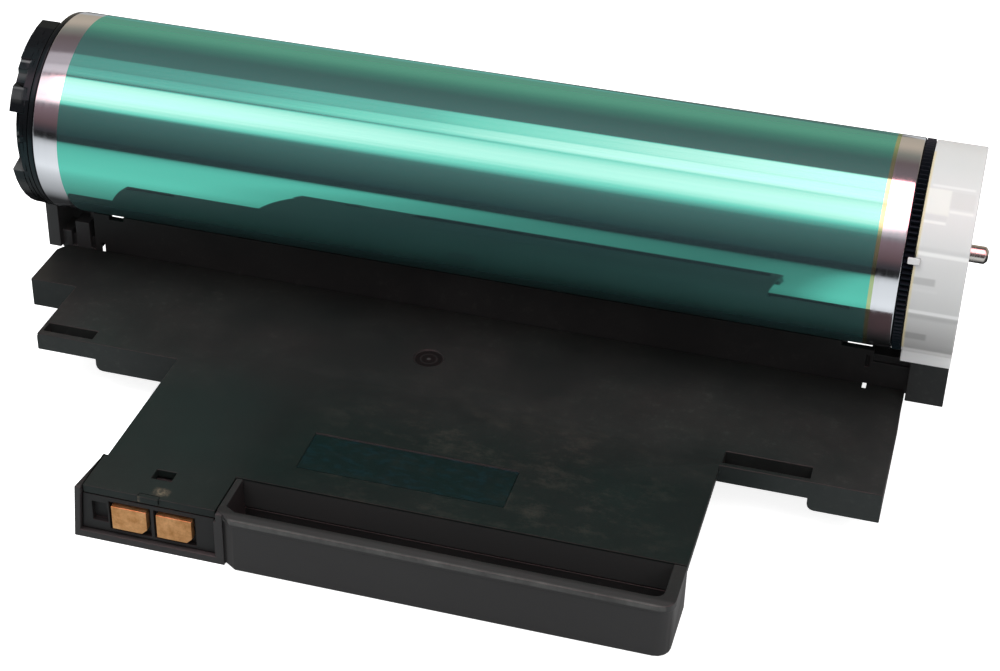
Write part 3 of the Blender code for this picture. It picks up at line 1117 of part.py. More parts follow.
def build_auger():
    pivot = (0.0, *AUGER_PLACE)
    shaft_end = GEAR_LEFT - SEAT_GAP
    shaft = rod("x", CRADLE_LEFT - AUGER_STUB, shaft_end, AUGER_SHAFT, SCREW_SIDES, AUGER_PLACE)
    auger = make("waste_auger", shaft, BLACK, pivot)
    first, last = CRADLE_LEFT + CRADLE_END + LAP, CRADLE_RIGHT - CRADLE_END - LAP
    steps = int((last - first) / AUGER_PITCH * AUGER_STEPS)
    core = AUGER_SHAFT * 0.7
    body = bmesh.new()
    rings = []
    for i in range(steps + 1):
        x = first + AUGER_PITCH * i / AUGER_STEPS
        ring = []
        for dx, radius in ((0, core), (0, AUGER_FLIGHT), (FLIGHT_THICKNESS, AUGER_FLIGHT), (FLIGHT_THICKNESS, core)):
            y, z = polar(radius, 360.0 * i / AUGER_STEPS)
            ring.append(body.verts.new((x + dx - FLIGHT_THICKNESS / 2, y + AUGER_PLACE[0], z + AUGER_PLACE[1])))
        rings.append(ring)
    for near, far in zip(rings, rings[1:]):
        for k in range(4):
            j = (k + 1) % 4
            body.faces.new((near[k], near[j], far[j], far[k]))
    body.faces.new(rings[0])
    body.faces.new(rings[-1])
    join(auger, body)

    teeth = gear_outline(AUGER_TEETH, AUGER_PHASE, AUGER_PLACE)
    make("auger_gear", prism("x", GEAR_LEFT, GEAR_RIGHT, teeth), ACETAL, pivot)
    teeth = gear_outline(IDLER_TEETH, IDLER_PHASE, IDLER_PLACE)
    idler = make("idler_gear", prism("x", GEAR_LEFT, GEAR_RIGHT, teeth), ACETAL, (0.0, *IDLER_PLACE))
    join(idler, shaft_rod(GEAR_LEFT, RIGHT_POST[0] - RUN_GAP, IDLER_HUB, IDLER_PLACE))
    cut(idler, shaft_hole(GEAR_LEFT, RIGHT_POST[0], IDLER_PIN, IDLER_PLACE))


# Screws

def build_screw(name, place_xy, seat, length, shank, head):
    """A pan-head screw on the z axis: its head's seat, and a shank whose length carries its direction."""
    direction = 1 if length > 0 else -1
    made = make(name, rod("z", seat, seat - direction * SCREW_HEAD_HEIGHT, head, HEAD_SIDES, place_xy), PLATED)
    join(made, rod("z", seat - direction * SCREW_HEAD_HEIGHT / 4, seat + length, shank, SCREW_SIDES, place_xy))
    reach = head * 0.6
    x, y = place_xy
    bottom, above = seat - direction * SCREW_HEAD_HEIGHT * 0.6, seat - direction * (SCREW_HEAD_HEIGHT + LAP)
    cut(made, block(x - reach, x + reach, y - SLOT_WIDTH / 2, y + SLOT_WIDTH / 2, min(bottom, above),
                    max(bottom, above)))


def build_screws():
    for number, place_xy in enumerate(COVER_SCREWS, 1):
        build_screw(f"cover_screw_{number}", place_xy, SCREW_SEAT - SEAT_GAP, COVER_SCREW_LENGTH, SCREW_SHANK,
                    SCREW_HEAD)
    left_seat = -LEFT_POST_DROP - SEAT_GAP
    build_screw("left_cap_screw", left_cap_screw_place(), left_seat,
                cap_screw_top(LEFT_CAP_RADIUS) - left_seat, CAP_SCREW_SHANK, CAP_SCREW_HEAD)
    right_seat = -RIGHT_POST_DROP - SEAT_GAP
    build_screw("right_cap_screw", right_cap_screw_place(), right_seat,
                cap_screw_top(RIGHT_CAP_RADIUS) - right_seat, SCREW_SHANK, SCREW_HEAD)


build_drum()
build_earthing_plate()
build_left_cap()
build_right_cap()
build_cover()
build_frame()
build_contacts()
build_charge_roller()
build_film_and_seals(*build_blade())
build_auger()
build_screws()
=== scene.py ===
# %% [markdown]
# A printer's drum unit. A mirror-smooth green drum turns in a flat black carrier, between a lobed black cap on
# the left and a white translucent cap on the right. In front is a trough for the fingers, and beside it two copper
# contact pads. The solid model gives every size. Here each piece gets its finish, its rounded edges and its wear.

# %% Load the solid model
import math

import bmesh
import bpy
import numpy as np
from mathutils import Matrix, Vector


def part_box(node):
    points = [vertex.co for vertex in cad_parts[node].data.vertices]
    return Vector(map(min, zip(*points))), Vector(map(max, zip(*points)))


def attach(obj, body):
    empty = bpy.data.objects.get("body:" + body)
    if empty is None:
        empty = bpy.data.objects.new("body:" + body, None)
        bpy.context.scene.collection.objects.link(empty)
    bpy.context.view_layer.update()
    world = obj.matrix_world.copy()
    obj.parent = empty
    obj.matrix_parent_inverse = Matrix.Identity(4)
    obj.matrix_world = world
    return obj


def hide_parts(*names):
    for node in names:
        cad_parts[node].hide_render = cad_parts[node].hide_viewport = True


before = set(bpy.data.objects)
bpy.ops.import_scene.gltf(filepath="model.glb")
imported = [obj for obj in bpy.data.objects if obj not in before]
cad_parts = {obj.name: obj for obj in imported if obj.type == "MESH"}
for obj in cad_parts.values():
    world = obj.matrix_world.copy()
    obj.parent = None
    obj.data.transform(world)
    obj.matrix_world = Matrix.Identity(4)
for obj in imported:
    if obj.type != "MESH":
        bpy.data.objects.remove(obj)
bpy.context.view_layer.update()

# %% [markdown]
# The drum is the natural place to measure from, because everything else is built round it. Sizes could be typed in
# metres from the model's middle, but then none could be checked against the drum. So each piece is worked out in the
# drum's own frame, which runs in millimetres from the tube's left end, with the axis at y = z = 0. One function puts
# it into the model.

# %% The drum's own frame
MM_PER_METRE = 1000
tube_low, tube_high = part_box("photoconductor_tube")
TUBE_LENGTH = (tube_high.x - tube_low.x) * MM_PER_METRE
TUBE_RADIUS = (tube_high.z - tube_low.z) / 2 * MM_PER_METRE
DRUM_START = np.array([tube_low.x, (tube_low.y + tube_high.y) / 2, (tube_low.z + tube_high.z) / 2])


def in_model(points):
    """Points in the drum's millimetres, as an array of x, y, z, moved into the model's metres."""
    return DRUM_START + np.asarray(points, dtype=float) / MM_PER_METRE


print(f"tube {TUBE_LENGTH:.1f} mm long, {TUBE_RADIUS:.1f} mm radius")

# %% [markdown]
# The camera stands where the photographer stood: near the drum's right end, looking down by a little over a third of
# a right angle, and rolled by under two degrees. A long lens keeps the drum's edges almost parallel. Three angles
# could be given as a rotation, but three directions at right angles are easier to follow: ahead, right and up.

# %% Camera
TURN, TILT, ROLL = math.radians(14.52), math.radians(33.72), math.radians(1.83)
LENS = 76.06
CAMERA_PLACE = (271.57, -523.1, 305.33)    # in the drum's frame
NEAREST = 0.01

ahead = Vector((-math.sin(TURN) * math.cos(TILT), math.cos(TURN) * math.cos(TILT), -math.sin(TILT)))
level_right = Vector((math.cos(TURN), math.sin(TURN), 0))
level_up = level_right.cross(ahead)
right = math.cos(ROLL) * level_right + math.sin(ROLL) * level_up
up = right.cross(ahead)

camera_data = bpy.data.cameras.new("camera")
camera_data.lens = LENS
camera_data.clip_start = NEAREST
camera = bpy.data.objects.new("camera", camera_data)
pose = Matrix((right, up, -ahead)).transposed().to_4x4()
pose.translation = Vector(in_model(CAMERA_PLACE))
camera.matrix_world = pose
bpy.context.scene.collection.objects.link(camera)
bpy.context.scene.camera = camera
print("camera at", [round(c, 3) for c in pose.translation])

# %% [markdown]
# A mirror shows its surroundings, so the studio has to be right before the drum can be. The drum's highlights are
# reflections of long soft panels overhead. Lamps could make them, but a lamp is evenly bright, and these panels fade
# along their length. What a cylinder mirrors depends on two things only, the angle round it and the direction along
# it, so the world's colour is worked out from those two. These helpers make the nodes that do it.

# %% Helpers for nodes
FULL_TURN = 360


def link(tree, start, end):
    """Joins a node's output to another node's input."""
    tree.links.new(start, end)


def maths(tree, operation, *values):
    """A Math node of the operation; a value is a number or another node's output."""
    node = tree.nodes.new("ShaderNodeMath")
    node.operation = operation
    for socket, value in zip(node.inputs, values):
        if isinstance(value, (int, float)):
            socket.default_value = value
        else:
            link(tree, value, socket)
    return node.outputs[0]


def ramp(tree, value, stops):
    """A Color Ramp of (position, colour or grey) stops, read at the value."""
    node = tree.nodes.new("ShaderNodeValToRGB")
    band = node.color_ramp
    while len(band.elements) < len(stops):
        band.elements.new(0.5)
    for element, (position, colour) in zip(band.elements, stops):
        element.position = position
        grey = isinstance(colour, (int, float))
        element.color = (colour, colour, colour, 1) if grey else (*colour, 1)
    link(tree, value, node.inputs["Fac"])
    return node.outputs["Color"]


def spread(tree, value, stops):
    """A Color Ramp over values from -0.5 to 0.5, moved up by a half because a ramp runs from 0 to 1."""
    return ramp(tree, maths(tree, "ADD", value, 0.5), [(place + 0.5, colour) for place, colour in stops])


def mixed(tree, amount, first, second, blend="MIX"):
    """Mixes two colours by an amount; each is a triple, a grey or another node's output."""
    node = tree.nodes.new("ShaderNodeMix")
    node.data_type = "RGBA"
    node.blend_type = blend
    for name, value in (("Factor", amount), ("A", first), ("B", second)):
        socket = [s for s in node.inputs if s.name == name and s.enabled][0]
        if isinstance(value, (int, float)):
            socket.default_value = value if name == "Factor" else (value, value, value, 1)
        elif isinstance(value, tuple):
            socket.default_value = (*value, 1)
        else:
            link(tree, value, socket)
    return [s for s in node.outputs if s.enabled][0]


def share_of_turn(tree, back, up):
    """The angle of (back, up) as a share of a whole turn: the arc tangent over 2 pi, brought between 0 and 1."""
    turns = maths(tree, "DIVIDE", maths(tree, "ARCTAN2", up, back), 2 * math.pi)
    return maths(tree, "FRACT", maths(tree, "ADD", turns, 1.0))


def around(degrees):
    """The same share of a turn for an angle in degrees."""
    return (degrees % FULL_TURN) / FULL_TURN


print("node helpers ready")

# %% [markdown]
# The room is the dim part of what the drum mirrors. The angle is 0 behind the drum, 90 overhead and 180 in front.
# Behind is a warm, pale backdrop, overhead a dull ceiling, and in front and below it is almost black. A picture of a
# room could be wrapped round the scene, but one ramp over the angle holds all that matters, and it stays sharp.

# %% The room
world = bpy.data.worlds.new("studio")
bpy.context.scene.world = world
world.use_nodes = True
sky = world.node_tree
direction = sky.nodes.new("ShaderNodeSeparateXYZ")
link(sky, sky.nodes.new("ShaderNodeTexCoord").outputs["Generated"], direction.inputs[0])
along_drum, upwards = direction.outputs["X"], direction.outputs["Z"]
turn = share_of_turn(sky, direction.outputs["Y"], upwards)

ROOM = ((0, (0.47, 0.40, 0.32)), (24, (0.56, 0.46, 0.36)), (30, (0.52, 0.43, 0.34)), (44, (0.25, 0.24, 0.20)),
        (58, (0.16, 0.117, 0.115)), (80, (0.20, 0.155, 0.162)), (147, (0.27, 0.24, 0.25)),
        (152, (0.24, 0.16, 0.175)), (170, (0.14, 0.085, 0.09)), (178, (0.05, 0.045, 0.05)),
        (300, (0.03, 0.03, 0.03)), (345, (0.47, 0.40, 0.32)))
room = ramp(sky, turn, [(around(degrees), colour) for degrees, colour in ROOM])
print("room of", len(ROOM), "tones round the drum")

# %% [markdown]
# The real panels hang over the drum. The back one mirrors as two strips side by side and grows brighter to the right.
# The front one is wider, slants a little, and is dimmest in the middle. Under it is a faint shelf of light. Each is a
# product: a profile over the angle round the drum, times a power over the direction along it. A Color Ramp holds at
# most 1, so the powers are divided by ten here and multiplied again later.

# %% The panels
PANELS_FROM, PANELS_TO = 78.0, 150.0    # degrees around the drum
POWER_TOP = 10
FRONT_SLANT, FRONT_PIVOT = -0.12, -0.05    # shares of the panels' width a unit of direction, and where it is 0
STREAKS, STREAK_DETAIL = 34, 3


def in_panels(degrees):
    """An angle as a share of the way across the panels: 0 at their first edge, 1 at their last."""
    return (degrees - PANELS_FROM) / (PANELS_TO - PANELS_FROM)


def panel(angle, profile, powers):
    """Light in tenths: a profile of (degrees, level), times powers of (direction along the drum, level)."""
    shape = ramp(sky, angle, [(in_panels(degrees), level) for degrees, level in profile])
    power = spread(sky, along_drum, [(x, level / POWER_TOP) for x, level in powers])
    return mixed(sky, 1.0, shape, power, "MULTIPLY")


def added(first, second):
    """The sum of two of the world's colours."""
    return mixed(sky, 1.0, first, second, "ADD")


fine = maths(sky, "DIVIDE", maths(sky, "SUBTRACT", maths(sky, "MULTIPLY", turn, float(FULL_TURN)), PANELS_FROM),
             PANELS_TO - PANELS_FROM)
slanted = maths(sky, "SUBTRACT", fine, maths(
    sky, "MULTIPLY", maths(sky, "SUBTRACT", along_drum, FRONT_PIVOT), FRONT_SLANT))
back_low = panel(fine, [(82, 0), (84, 1), (90, 1.0), (97.5, 0.95), (99, 0)],
                 [(-0.41, 0.34), (-0.35, 0.44), (-0.31, 0.66), (-0.26, 0.8), (-0.217, 1.65), (-0.17, 2.6),
                  (-0.12, 4.3), (-0.07, 7.2), (-0.04, 8.5), (0.2, 8.5), (0.45, 3)])
back_high = panel(fine, [(98, 0), (99.5, 0.9), (105, 1.05), (109, 1), (112, 0)],
                  [(-0.41, 0.55), (-0.35, 0.68), (-0.31, 1.0), (-0.26, 1.75), (-0.217, 3.3), (-0.17, 4.8),
                   (-0.12, 6.2), (-0.07, 7.8), (-0.04, 9), (0.2, 9), (0.45, 4)])
front = panel(slanted, [(109.5, 0), (112, 0.5), (117, 0.75), (123, 1.0), (128, 1.0), (133, 0.72), (137, 0.36),
                        (140, 0.1), (143, 0)],
              [(-0.5, 1.6), (-0.43, 7.3), (-0.35, 5.8), (-0.31, 4.6), (-0.26, 3.9), (-0.217, 3.8), (-0.17, 4.1),
               (-0.12, 4.7), (-0.07, 5.7), (-0.04, 6.8), (0.2, 7), (0.45, 4)])
shelf = panel(fine, [(138, 0), (141, 1), (144.5, 0.9), (147.5, 0)],
              [(-0.41, 1.0), (-0.31, 0.7), (-0.2, 0.55), (-0.05, 0.35), (0.45, 0.3)])

streaks = sky.nodes.new("ShaderNodeTexNoise")
streaks.noise_dimensions = "1D"
streaks.inputs["Scale"].default_value = STREAKS
streaks.inputs["Detail"].default_value = STREAK_DETAIL
link(sky, fine, streaks.inputs["W"])
uneven = ramp(sky, streaks.outputs["Fac"], [(0.3, 0.78), (0.7, 1.0)])
level = mixed(sky, 1.0, added(added(back_low, back_high), added(front, shelf)), uneven, "MULTIPLY")
print(f"panels between {PANELS_FROM:.0f} and {PANELS_TO:.0f} degrees round the drum")

# %% [markdown]
# A photograph softens strong highlights, and on green it turns them mint. A filmic view could do that to the whole
# picture, but plain plastics would then lose their colours. So only the panels are softened: their light turns
# faintly rosy as it grows, which on the green coating ends as mint. Mirrors see the room and the panels, matt
# surfaces see a plain grey sky, and the camera sees white.

# %% Light for each kind of ray
SOFTENED = ((0, 0), (0.05, (0.052, 0.047, 0.048)), (0.1, (0.107, 0.088, 0.086)), (0.18, (0.20, 0.112, 0.114)),
            (0.29, (0.37, 0.135, 0.142)), (0.44, (0.48, 0.155, 0.170)), (0.7, (0.56, 0.19, 0.21)),
            (1.0, (0.64, 0.23, 0.25)))
PLAIN_SKY = ((0.0, 0.32), (0.35, 0.42), (0.9, 0.85))    # (upwards, grey)

softened = ramp(sky, level, SOFTENED)
reflected = added(room, mixed(sky, 1.0, softened, float(POWER_TOP), "MULTIPLY"))
rays = sky.nodes.new("ShaderNodeLightPath")
seen = mixed(sky, rays.outputs["Is Glossy Ray"], ramp(sky, upwards, PLAIN_SKY), reflected)
for white_ray in ("Is Transmission Ray", "Is Camera Ray"):
    seen = mixed(sky, rays.outputs[white_ray], seen, 1.0)
link(sky, seen, sky.nodes["Background"].inputs["Color"])
sky.nodes["Background"].inputs["Strength"].default_value = 1.0
bpy.context.scene.view_settings.view_transform = "Standard"
print("world nodes:", len(sky.nodes))

# %% [markdown]
# The sky alone would light the matt parts too evenly. Two large lamps give them their shape: a key over the left
# front, and a weaker fill to the right. The drum already mirrors the panels, so mirrors don't see the lamps.

# %% Lamps
TARGET = Vector((0, 0, 0.03))
for name, place, size, power in (("key", (-0.35, -0.30, 1.25), 0.7, 6.5), ("fill", (0.9, -0.5, 0.9), 0.6, 2.0)):
    lamp_data = bpy.data.lights.new(name, "AREA")
    lamp_data.shape = "SQUARE"
    lamp_data.size = size
    lamp_data.energy = power
    lamp = bpy.data.objects.new(name, lamp_data)
    lamp.location = place
    lamp.rotation_euler = (TARGET - Vector(place)).to_track_quat("-Z", "Y").to_euler()
    lamp.visible_glossy = False
    bpy.context.scene.collection.objects.link(lamp)
    print(f"{name} lamp: {size} m wide, {power} W")

# %% [markdown]
# Most finishes share a few parts: a Principled shader, the place on the piece, a pattern, and a bump. Patterns could
# be painted on an unwrapped piece, but noise read from the piece's own coordinates needs no unwrapping and stays
# equally fine everywhere. These helpers make those parts, so each finish below shows only what is special to it.

# %% Helpers for finishes
def finish(name, colour, roughness, **more):
    """A material with its Principled shader set; more are sockets by name, with _ for a space."""
    made = bpy.data.materials.new(name)
    made.use_nodes = True
    shader = made.node_tree.nodes["Principled BSDF"]
    shader.inputs["Base Color"].default_value = (*colour, 1)
    shader.inputs["Roughness"].default_value = roughness
    for socket, value in more.items():
        shader.inputs[socket.replace("_", " ")].default_value = value
    return made, made.node_tree, shader


def whereabouts(tree):
    """The place on the piece: its own x, y and z, in the model's metres."""
    node = tree.nodes.new("ShaderNodeSeparateXYZ")
    link(tree, tree.nodes.new("ShaderNodeTexCoord").outputs["Object"], node.inputs[0])
    return node.outputs


def pattern(tree, scale, detail=4.0, roughness=0.6, stretch=(1, 1, 1), offset=(0, 0, 0)):
    """Noise in the piece's own metres; scale is in blotches a metre, and stretch draws it out."""
    source = tree.nodes.new("ShaderNodeTexCoord").outputs["Object"]
    mapping = tree.nodes.new("ShaderNodeMapping")
    mapping.inputs["Scale"].default_value = stretch
    mapping.inputs["Location"].default_value = offset
    link(tree, source, mapping.inputs["Vector"])
    noise = tree.nodes.new("ShaderNodeTexNoise")
    noise.inputs["Scale"].default_value = scale
    noise.inputs["Detail"].default_value = detail
    noise.inputs["Roughness"].default_value = roughness
    link(tree, mapping.outputs["Vector"], noise.inputs["Vector"])
    return noise.outputs["Fac"]


def bumped(tree, shader, height, depth):
    """A bump whose full height is depth metres."""
    node = tree.nodes.new("ShaderNodeBump")
    node.inputs["Distance"].default_value = depth
    link(tree, height, node.inputs["Height"])
    link(tree, node.outputs["Normal"], shader.inputs["Normal"])


print("finish helpers ready")

# %% [markdown]
# The table is one white sheet. To the eye it fades into the white background and keeps a faint shadow. The drum
# mirrors it as far as the table's front edge, darker where the carrier stands and beyond that edge. One plain white
# sheet would mirror too evenly, so mirrors see a glow instead, drawn by two ramps across the table.

# %% Table
TABLE_HALF = 4.0
TABLE_FRONT, FRONT_BLUR = -0.40, 0.02
EYE_GLOW = 0.85
MIRRORED_BACKWARDS = ((TABLE_FRONT - FRONT_BLUR, 0.02), (TABLE_FRONT + FRONT_BLUR, 0.3), (-0.3, 0.68), (-0.2, 0.85),
                      (-0.08, 0.93), (-0.045, 1.0), (-0.025, 0.75), (0.01, 0.4), (0.03, 0.03), (0.3, 0.03),
                      (0.5, 0.6))    # (y in metres, level)
MIRRORED_ALONG = ((-0.3, 0.8), (-0.16, 1.0), (-0.12, 0.95), (-0.08, 0.6), (-0.03, 0.38), (0.05, 0.3), (0.085, 0.4),
                  (0.1, 0.95), (0.2, 1.0))    # (x in metres, level)

corners = [(x * TABLE_HALF, y * TABLE_HALF, 0) for x, y in ((-1, -1), (1, -1), (1, 1), (-1, 1))]
floor_mesh = bpy.data.meshes.new("table")
floor_mesh.from_pydata(corners, [], [(0, 1, 2, 3)])
floor = bpy.data.objects.new("table", floor_mesh)
bpy.context.scene.collection.objects.link(floor)

paper, tree, matt = finish("white_table", (0.93, 0.93, 0.93), 0.9, Specular_IOR_Level=0.0)
where = whereabouts(tree)
mirrored = tree.nodes.new("ShaderNodeEmission")
link(tree, mixed(tree, 1.0, spread(tree, where[1], MIRRORED_BACKWARDS), spread(tree, where[0], MIRRORED_ALONG),
                 "MULTIPLY"), mirrored.inputs["Color"])
glow = tree.nodes.new("ShaderNodeEmission")
glow.inputs["Color"].default_value = (1, 1, 1, 1)
rays = tree.nodes.new("ShaderNodeLightPath")
link(tree, maths(tree, "MULTIPLY", rays.outputs["Is Camera Ray"], EYE_GLOW), glow.inputs["Strength"])
glowing = tree.nodes.new("ShaderNodeAddShader")
link(tree, matt.outputs[0], glowing.inputs[0])
link(tree, glow.outputs[0], glowing.inputs[1])
choice = tree.nodes.new("ShaderNodeMixShader")
link(tree, rays.outputs["Is Glossy Ray"], choice.inputs["Fac"])
link(tree, glowing.outputs[0], choice.inputs[1])
link(tree, mirrored.outputs[0], choice.inputs[2])
link(tree, choice.outputs[0], tree.nodes["Material Output"].inputs["Surface"])
floor.data.materials.append(paper)
print("table is", 2 * TABLE_HALF, "m wide")

# %% [markdown]
# The drum's coating is a thin green pigment on bright aluminium. Where it mirrors something bright it is green, and
# where it mirrors the dark room only a dark teal haze is left. A green metal would be green everywhere, so a high
# index of refraction with a green tint gives the mirror instead. A wide, colourless coat over it gives the haze,
# strong near the bright panels and gone underneath. At its right edge the coating thins out and turns yellow. The
# bare bands are turned aluminium, with fine rings from the lathe.

# %% Coating and bare aluminium
def coated(name, tint, haze_colour):
    """A mirror of a tint over a haze, whose colour is its own times a slow noise between 0.9 and 1.1."""
    made, tree, shader = finish(name, haze_colour, 0.045, IOR=7.0, Specular_Tint=(*tint, 1), Coat_Weight=1.0,
                                Coat_Roughness=0.55)
    soft = ramp(tree, pattern(tree, 60, 3, 0.5, (0.2, 1, 1)), [(0.3, 0.9), (0.7, 1.1)])
    link(tree, mixed(tree, 1.0, soft, haze_colour, "MULTIPLY"), shader.inputs["Base Color"])
    return made


coating = coated("drum_coating", (0.17, 1.0, 0.78), (0.024, 0.078, 0.092))
thin_coating = coated("thin_coating", (0.75, 1.0, 0.52), (0.06, 0.05, 0.02))
band_metal, tree, shader = finish("bare_aluminium", (0.76, 0.80, 0.85), 0.12, Metallic=1.0)
lathe_rings = pattern(tree, 900, 2, 0.5, (1, 0.02, 0.02))
link(tree, ramp(tree, lathe_rings, [(0.3, 0.07), (0.7, 0.16)]), shader.inputs["Roughness"])
print("made", coating.name, thin_coating.name, band_metal.name)

# %% [markdown]
# The tube, the flanges and the axle are a lathe's work. A Screw modifier could turn their outline, but a grid of
# points worked out at once gives each face a known place, so that a finish can be chosen for it. Each row of the grid
# is a point of the profile, and each column a step round the axis.

# %% Turning a profile
MERGE_DISTANCE = 1e-7


def mesh_piece(name, points, quads, finishes, body, replaces, which=None, smooth=40.0):
    """An object of the points, in the drum's millimetres, and faces; which gives each face its finish."""
    mesh = bpy.data.meshes.new(name)
    mesh.from_pydata(in_model(points).tolist(), [], [tuple(q) for q in np.asarray(quads).tolist()])
    for made in finishes:
        mesh.materials.append(made)
    if which is not None:
        mesh.polygons.foreach_set("material_index", np.asarray(which, dtype=np.int32))
    shell = bmesh.new()
    shell.from_mesh(mesh)
    bmesh.ops.remove_doubles(shell, verts=shell.verts, dist=MERGE_DISTANCE)
    bmesh.ops.recalc_face_normals(shell, faces=shell.faces)
    shell.to_mesh(mesh)
    shell.free()
    mesh.shade_smooth()
    mesh.set_sharp_from_angle(angle=math.radians(smooth))
    piece = bpy.data.objects.new(name, mesh)
    bpy.context.scene.collection.objects.link(piece)
    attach(piece, body)
    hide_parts(*replaces)
    print(f"{name}: {len(mesh.polygons)} faces")
    return piece


def turned_grid(profile, sides):
    """Point (i, j) lies at the profile's x and radius i, turned by j steps: y = r cos t, z = r sin t."""
    x, r = np.array(profile, dtype=float).T
    t = np.arange(sides) * 2 * np.pi / sides
    points = np.stack([np.broadcast_to(x[:, None], (len(x), sides)), r[:, None] * np.cos(t),
                       r[:, None] * np.sin(t)], axis=2).reshape(-1, 3)
    i, j = np.meshgrid(np.arange(len(x) - 1), np.arange(sides), indexing="ij")
    k = (j + 1) % sides
    quads = np.stack([i * sides + j, i * sides + k, (i + 1) * sides + k, (i + 1) * sides + j], axis=2)
    return points, quads.reshape(-1, 4)


def rounded(profile, radius, steps=4):
    """Rounds each inner corner of a profile: the corner becomes a quadratic curve between two points beside it."""
    p = np.array(profile, dtype=float)
    made = [p[0]]
    for before, corner, after in zip(p, p[1:], p[2:]):
        back, on = before - corner, after - corner
        cut = min(radius, np.linalg.norm(back) / 2, np.linalg.norm(on) / 2)
        start, end = corner + back / np.linalg.norm(back) * cut, corner + on / np.linalg.norm(on) * cut
        t = np.linspace(0, 1, steps + 1)[:, None]
        made.extend((1 - t) ** 2 * start + 2 * t * (1 - t) * corner + t ** 2 * end)
    made.append(p[-1])
    return made


print("turning helpers ready")

# %% [markdown]
# The tube is bare at both ends, coated between, and has small rounded edges. A cylinder from the Add menu would have
# sharp ends and no bands. The profile here has a point at each place where the finish changes, so that the bands end
# in a clean line.

# %% Tube
BARE_LEFT, THIN_RIGHT, BARE_RIGHT = 7.76, 246.3, 247.4    # where the coating starts, thins and ends
TUBE_WALL, END_FACE, EDGE_ROUND = 1.5, 0.1, 0.35
TUBE_SIDES = 240

inner = TUBE_RADIUS - TUBE_WALL
outside = rounded([(0, inner + END_FACE), (0, TUBE_RADIUS), (BARE_LEFT, TUBE_RADIUS)], EDGE_ROUND)
outside += [(THIN_RIGHT, TUBE_RADIUS)]
outside += rounded([(BARE_RIGHT, TUBE_RADIUS), (TUBE_LENGTH, TUBE_RADIUS), (TUBE_LENGTH, inner + END_FACE)],
                   EDGE_ROUND)
profile = [(0, inner)] + outside + [(TUBE_LENGTH, inner), (0, inner)]
points, quads = turned_grid(profile, TUBE_SIDES)

# The finishes are bare, coated and thin from the left, and then bare again, which is the fourth and so the first.
finishes = [band_metal, coating, thin_coating]
across = points[quads][:, :, 0].mean(axis=1)
on_surface = np.hypot(points[quads][:, 0, 1], points[quads][:, 0, 2]) > inner + TUBE_WALL / 3
band = np.digitize(across, [BARE_LEFT, THIN_RIGHT, BARE_RIGHT]) % len(finishes)
tube = mesh_piece("coated_tube", points, quads, finishes, "drum", ["photoconductor_tube"],
                  np.where(on_surface, band, 0))

# %% [markdown]
# The black mouldings are one kind of plastic, with a faint spark-eroded grain. Years of handling left dust in
# soft patches and fine pale scratches. Both could be painted by hand, but noise gives them without any picture. The
# dust is a noise with low contrast. A scratch is a contour line of a slow noise, broken up by another, which wanders
# as real scuffs do.

# %% Black plastic
GRAIN = 0.00002
SCUFFS = 0.3
SCRATCH_WIDTH = 0.004
SOFT_DUST = 0.3    # the share of the dust's colour that lies in the soft patches


def hairline(tree, scale, offset):
    """Thin wandering lines: 1 on a contour of a noise, 0 away from it."""
    away = maths(tree, "ABSOLUTE", maths(tree, "SUBTRACT", pattern(tree, scale, 2, 0.5, offset=offset), 0.5))
    return ramp(tree, away, [(0, 1), (SCRATCH_WIDTH, 0)])


def black_plastic(name, colour, dust, roughness=0.42, shine=0.24, tint=(0.8, 0.97, 1)):
    """Plastic of a colour, plus the dust's colour times noise; gives back its tone too, for a piece's own marks."""
    made, tree, shader = finish(name, colour, roughness, Specular_IOR_Level=shine, Specular_Tint=(*tint, 1))
    soft = ramp(tree, pattern(tree, 24, 7, 0.68), [(0.42, 0), (0.72, 1)])
    speck = ramp(tree, pattern(tree, 420, 4, 0.7, offset=(2, 5, 1)), [(0.55, 0), (0.75, 0.8)])
    lines = mixed(tree, 1.0, hairline(tree, 37, (3, 1, 0)), hairline(tree, 61, (1, 7, 2)), "ADD")
    broken = ramp(tree, pattern(tree, 45, 4, 0.7, offset=(9, 4, 3)), [(0.54, 0), (0.66, SCUFFS)])
    marks = mixed(tree, 1.0, mixed(tree, 1.0, lines, broken, "MULTIPLY"),
                  mixed(tree, 1.0, speck, soft, "MULTIPLY"), "ADD")
    tone = mixed(tree, soft, colour, tuple(c + d * SOFT_DUST for c, d in zip(colour, dust)))
    tone = mixed(tree, marks, tone, tuple(c + d for c, d in zip(colour, dust)))
    link(tree, tone, shader.inputs["Base Color"])
    rough = ramp(tree, pattern(tree, 35, 5, 0.6, offset=(5, 2, 1)),
                 [(0.3, roughness - 0.06), (0.7, roughness + 0.10)])
    link(tree, rough, shader.inputs["Roughness"])
    bumped(tree, shader, pattern(tree, 2600, 2, 0.5), depth=GRAIN)
    return made, tree, shader, tone


gear_black = black_plastic("gear_black", (0.005, 0.006, 0.009), (0.008, 0.008, 0.008), 0.45, shine=0.2,
                           tint=(0.35, 0.85, 1))[0]
print("made", gear_black.name)

# %% [markdown]
# Some marks have their own place: a dusty front, a worn rim, a bright edge. An image could hold them, but a box or a
# ring sector worked out from the piece's coordinates is sharp at any size and follows the drum's frame. A mask is 1
# inside and 0 outside, with a soft edge between, and the mark's colour is laid over the tone by that mask.

# %% Helpers for marks
SHARP = 0.0003    # metres over which a mark's edge fades
SECTOR_END = 0.0006
BELOW_DRUM = (-90, 0)


def in_metres(axis, value):
    """A coordinate of the drum's millimetres as metres in the model."""
    return float(DRUM_START[axis] + value / MM_PER_METRE)


